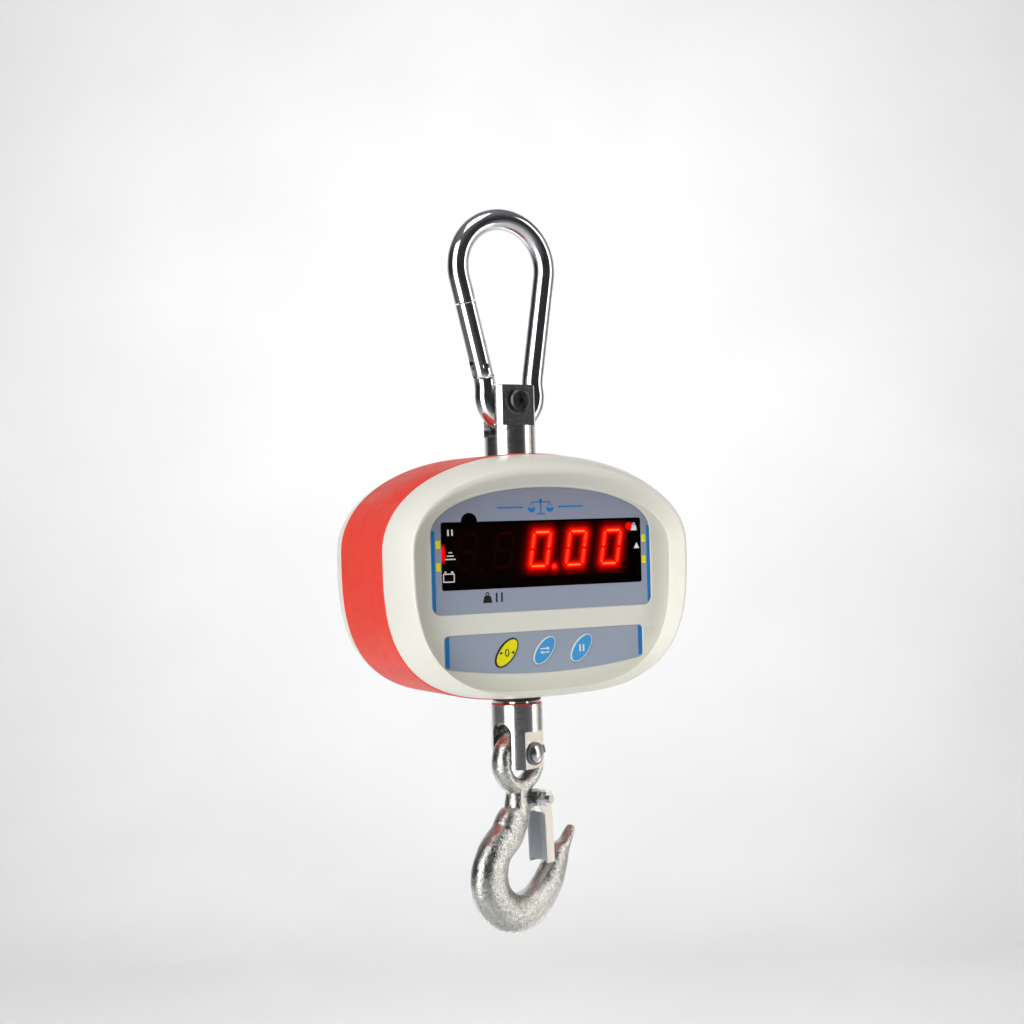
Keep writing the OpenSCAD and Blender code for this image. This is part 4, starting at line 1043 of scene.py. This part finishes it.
HOOK_STATIONS = [
    (-1, -25, 9, 6.6), (-3.5, -33, 7.6, 7.4), (-3, -41.5, 11.4, 8.3), (-9, -49, 13.4, 9.2),
    (-15, -57, 13.4, 9.8), (-25, -64.5, 12.8, 10), (-30, -71.5, 13.8, 10), (-33, -80, 15, 10),
    (-33, -88, 15.3, 10), (-30, -97, 15, 10), (-22, -106, 14.6, 10), (-12, -111.5, 14.2, 10),
    (-1, -113, 14, 10), (10, -111, 13.8, 9.8), (20, -105.5, 13, 9.4), (27, -99, 12.4, 9),
    (33, -92, 11.6, 8.6), (38, -84, 10, 7.8), (43, -77, 7.6, 6.8), (49.3, -71, 3.8, 5.4),
    (54.5, -65, 3.2, 4.4), (57.5, -60.5, 2.2, 3)]
EYE_BORE_R = 12
EYE_OUTER_R = 24
EYE_THICK = 14.5
EYE_DROP = 5.7
LATCH_X = 16.5
LATCH_Z = -34.2
BOSS_HALF = 3.5
BOSS_D = 12.6
BOLT_BORE_D = 6.4
VOXEL = 0.75


def power(value, exponent):
    return math.copysign(abs(value) ** exponent, value)


def hook():
    run = catmull(HOOK_STATIONS, 5)
    build = Build(HOOK)
    rings = []
    for k, (x, z, half, thick) in enumerate(run):
        a, b = run[max(k - 1, 0)], run[min(k + 1, len(run) - 1)]
        along = Vector((b[0] - a[0], 0, b[1] - a[1])).normalized()
        across = Vector((along.z, 0, -along.x))
        rings.append([tuple(Vector((x, 0, z)) + across * half * power(math.cos(t), 0.86)
                            + Vector((0, thick * power(math.sin(t), 0.86), 0)))
                      for t in (2 * math.pi * i / 40 for i in range(40))])
    build.solid(rings)
    mid, half = (EYE_BORE_R + EYE_OUTER_R) / 2, (EYE_OUTER_R - EYE_BORE_R) / 2
    section = [(mid + half * power(math.cos(t), 0.95), EYE_THICK / 2 * power(math.sin(t), 0.95))
               for t in (2 * math.pi * i / 32 for i in range(32))]
    eye = Build(HOOK @ moved(0, 0, -EYE_DROP))
    eye.loft([[(r * math.cos(t), y, r * math.sin(t)) for r, y in section]
              for t in (2 * math.pi * i / 96 for i in range(96))], closed=True)
    bolt = HOOK @ moved(LATCH_X, 0, LATCH_Z)
    boss = slab(HOOK, [(2, -28), (16.5, -27.9), (22.7, -34.5), (13, -40), (2, -46)], -BOSS_HALF, BOSS_HALF)
    boss = combined(boss, [rod(bolt, BOSS_D, -BOSS_HALF, BOSS_HALF)], "UNION")
    boss = combined(boss, [rod(bolt, BOLT_BORE_D, -20, 20)], "DIFFERENCE")
    joined = loose(together([build.mesh("hook"), eye.mesh("eye"), boss]))
    remesh = joined.modifiers.new("even", "REMESH")
    remesh.mode = "VOXEL"
    remesh.voxel_size = VOXEL * MM
    smooth = joined.modifiers.new("blend", "SMOOTH")
    smooth.factor = 0.6
    smooth.iterations = 18
    mesh = applied(joined)
    outward = [vertex.normal.copy() for vertex in mesh.vertices]
    for vertex, normal in zip(mesh.vertices, outward):
        lump = noise.noise(vertex.co * 120) * 0.25 + noise.noise(vertex.co * 330) * 0.12
        vertex.co += normal * lump * MM
    piece("hook_forging", mesh, [FORGED], "hook", ["hook"], 60)


# ---- carried-over nodes

KEPT = {
    CHROME: ["gate_rivet", "gate_catch_pin"],
    TURNED: ["upper_clevis", "lower_clevis", "lower_pin"],
    BLACK_STEEL: ["upper_pin", "upper_pin_rings", "lower_pin_rings"],
    LATCH_ZINC: ["latch", "latch_bolt", "latch_nut"],
    SPRING: ["gate_spring", "latch_spring"],
    MACHINED: ["load_cell", "load_cell_studs", "swivel_cap", "swivel_housing", "castle_nut", "cotter_pin"],
    BEARING: ["bearing_lower_washer", "bearing_upper_washer", "bearing_balls"],
    RUBBER: ["cover_gaskets", "top_grommet", "bottom_grommet"],
    BLACK_PLASTIC: ["ir_receiver", "switch_bodies", "zero_plunger", "unit_plunger", "hold_plunger",
                    "charger_socket", "power_switch", "power_rocker"],
    BOARD: ["display_board", "key_board", "main_board"],
    SCREW: ["board_screws", "housing_screws", "board_spacers", "chassis_posts"],
    SHEET: ["chassis_plate", "battery_strap"],
    BATTERY: ["battery"],
    CABLE: ["load_cell_cable"],
    LEAD: ["battery_leads"],
    RIBBON: ["display_ribbon"],
    DULL: ["status_leds"]}
EASED = {"upper_clevis": 0.45, "lower_clevis": 0.45, "latch": 0.6, "latch_bolt": 0.3, "latch_nut": 0.3,
         "load_cell": 0.4, "castle_nut": 0.4, "battery": 1.2, "power_rocker": 0.5, "charger_socket": 0.3,
         "power_switch": 0.3, "upper_pin_rings": 0.15, "lower_pin_rings": 0.15}


def carried_over():
    """Materials for the nodes that keep their CAD mesh, and eased edges where the light shows them."""
    for material, names in KEPT.items():
        for name in names:
            node = frame["nodes"][name]
            for slot in node.material_slots:
                slot.material = material
            if name in EASED:
                ease = node.modifiers.new("eased", "BEVEL")
                ease.width = EASED[name] * MM
                ease.segments = 3
                ease.angle_limit = math.radians(35)
                ease.harden_normals = True


# ---- stage, lights and camera

def stage():
    """Pale floor that sweeps up into a backdrop."""
    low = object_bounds()[0].z / MM - 420
    bend = [math.radians(angle) for angle in range(10, 91, 10)]
    profile = [(-2600, low), (1500, low)]
    profile += [(1500 + 900 * math.sin(t), low + 900 - 900 * math.cos(t)) for t in bend]
    profile.append((2400, low + 3600))
    build = Build(turned(-29, "Z"))
    left = build.ring([(-4500, y, z) for y, z in profile])
    right = build.ring([(4500, y, z) for y, z in profile])
    for i in range(len(profile) - 1):
        build.face((left[i], right[i], right[i + 1], left[i + 1]))
    g = Graph("studio_paper")
    colour = g.ramp(g.noise(3, 2), [(0.3, (0.86, 0.86, 0.86, 1)), (0.7, (0.9, 0.9, 0.9, 1))])
    g.finish(colour, g.span(g.noise(20, 2), 0.8, 0.9))
    obj = loose(build.mesh("sweep"))
    obj.name = "studio_sweep"
    obj.data.materials.append(g.material)
    soften(obj.data, 40)
    obj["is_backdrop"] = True


def area(name, azimuth, elevation, distance, size, power_w, colour=(1, 1, 1), away=False):
    """Soft box that looks at the object's middle, or away from it; azimuth 0 is in front, + to the right."""
    light = bpy.data.lights.new(name, "AREA")
    light.shape = "RECTANGLE"
    light.size, light.size_y = size
    light.energy = power_w
    light.color = colour
    obj = bpy.data.objects.new(name, light)
    bpy.context.scene.collection.objects.link(obj)
    a, e = math.radians(azimuth), math.radians(elevation)
    aim = Vector((axis_x, 0, housing_z + 20)) * MM
    out = Vector((math.sin(a) * math.cos(e), -math.cos(a) * math.cos(e), math.sin(e)))
    obj.location = aim + distance * out
    ahead = obj.location - aim if away else aim - obj.location
    if away:
        ahead.z = 0
    obj.rotation_euler = ahead.to_track_quat("-Z", "Y").to_euler()


def world():
    scene_world = bpy.data.worlds.new("studio")
    bpy.context.scene.world = scene_world
    scene_world.use_nodes = True
    tree = scene_world.node_tree
    background = tree.nodes["Background"]
    coord = tree.nodes.new("ShaderNodeTexCoord")
    split = tree.nodes.new("ShaderNodeSeparateXYZ")
    ramp = tree.nodes.new("ShaderNodeValToRGB")
    shift = tree.nodes.new("ShaderNodeMapRange")
    shift.inputs["From Min"].default_value = -1
    tree.links.new(coord.outputs["Generated"], split.inputs["Vector"])
    tree.links.new(split.outputs["Z"], shift.inputs["Value"])
    tree.links.new(shift.outputs["Result"], ramp.inputs["Fac"])
    tree.links.new(ramp.outputs["Color"], background.inputs["Color"])
    stops = ((0.0, 0.5), (0.4, 0.2), (0.5, 0.05), (0.7, 0.08), (1.0, 0.4))
    elements = ramp.color_ramp.elements
    while len(elements) < len(stops):
        elements.new(0.5)
    for element, (position, level) in zip(elements, stops):
        element.position = position
        element.color = (level, level, level * 1.02, 1)
    background.inputs["Strength"].default_value = 0.55


def lights():
    """A broad box on the left, a strip and a warm card on the right, a weak overhead, two for the paper."""
    area("key_box", -64, 8, 1.5, (1.05, 2.2), 26)
    area("strip_box", 55, 6, 1.5, (0.42, 2.2), 9)
    area("warm_card", 74, 4, 1.5, (0.3, 1.8), 1.6, (1, 0.82, 0.6))
    area("top_box", -20, 72, 1.4, (0.8, 0.6), 5)
    area("paper_high", 151, 60, 1.0, (2.6, 0.5), 26, away=True)
    area("paper_low", 151, -60, 0.8, (2.6, 0.5), 20, away=True)


def camera():
    """The viewpoint: a little to the left of the display and level with the middle of the scale."""
    azimuth, elevation, distance, roll = 28.93, -0.28, 1178, -1.48
    a, e = math.radians(-azimuth), math.radians(elevation)
    aim = Vector((axis_x + 0.2, 0, housing_z + 26.8))
    place = aim + distance * Vector((math.sin(a) * math.cos(e), -math.cos(a) * math.cos(e), math.sin(e)))
    data = bpy.data.cameras.new("camera")
    data.sensor_width = 36
    data.lens = 58.4
    obj = bpy.data.objects.new("camera", data)
    bpy.context.scene.collection.objects.link(obj)
    look = (aim - place).to_track_quat("-Z", "Y").to_matrix().to_4x4()
    obj.matrix_world = Matrix.Translation(place * MM) @ look @ turned(roll, "Z")
    bpy.context.scene.camera = obj
    bpy.context.scene.view_settings.view_transform = "Standard"


camera()
world()
lights()
carried_over()
front_cover()
centre_band()
rear_cover()
display_film()
keypad_film()
window()
digits()
lamp_glow()
key(0, "zero_key", YELLOW, BLACK, zero_sign)
key(1, "unit_key", SKY, WHITE, unit_sign)
key(2, "hold_key", SKY, WHITE, hold_sign)
carabiner()
hook()
stage()
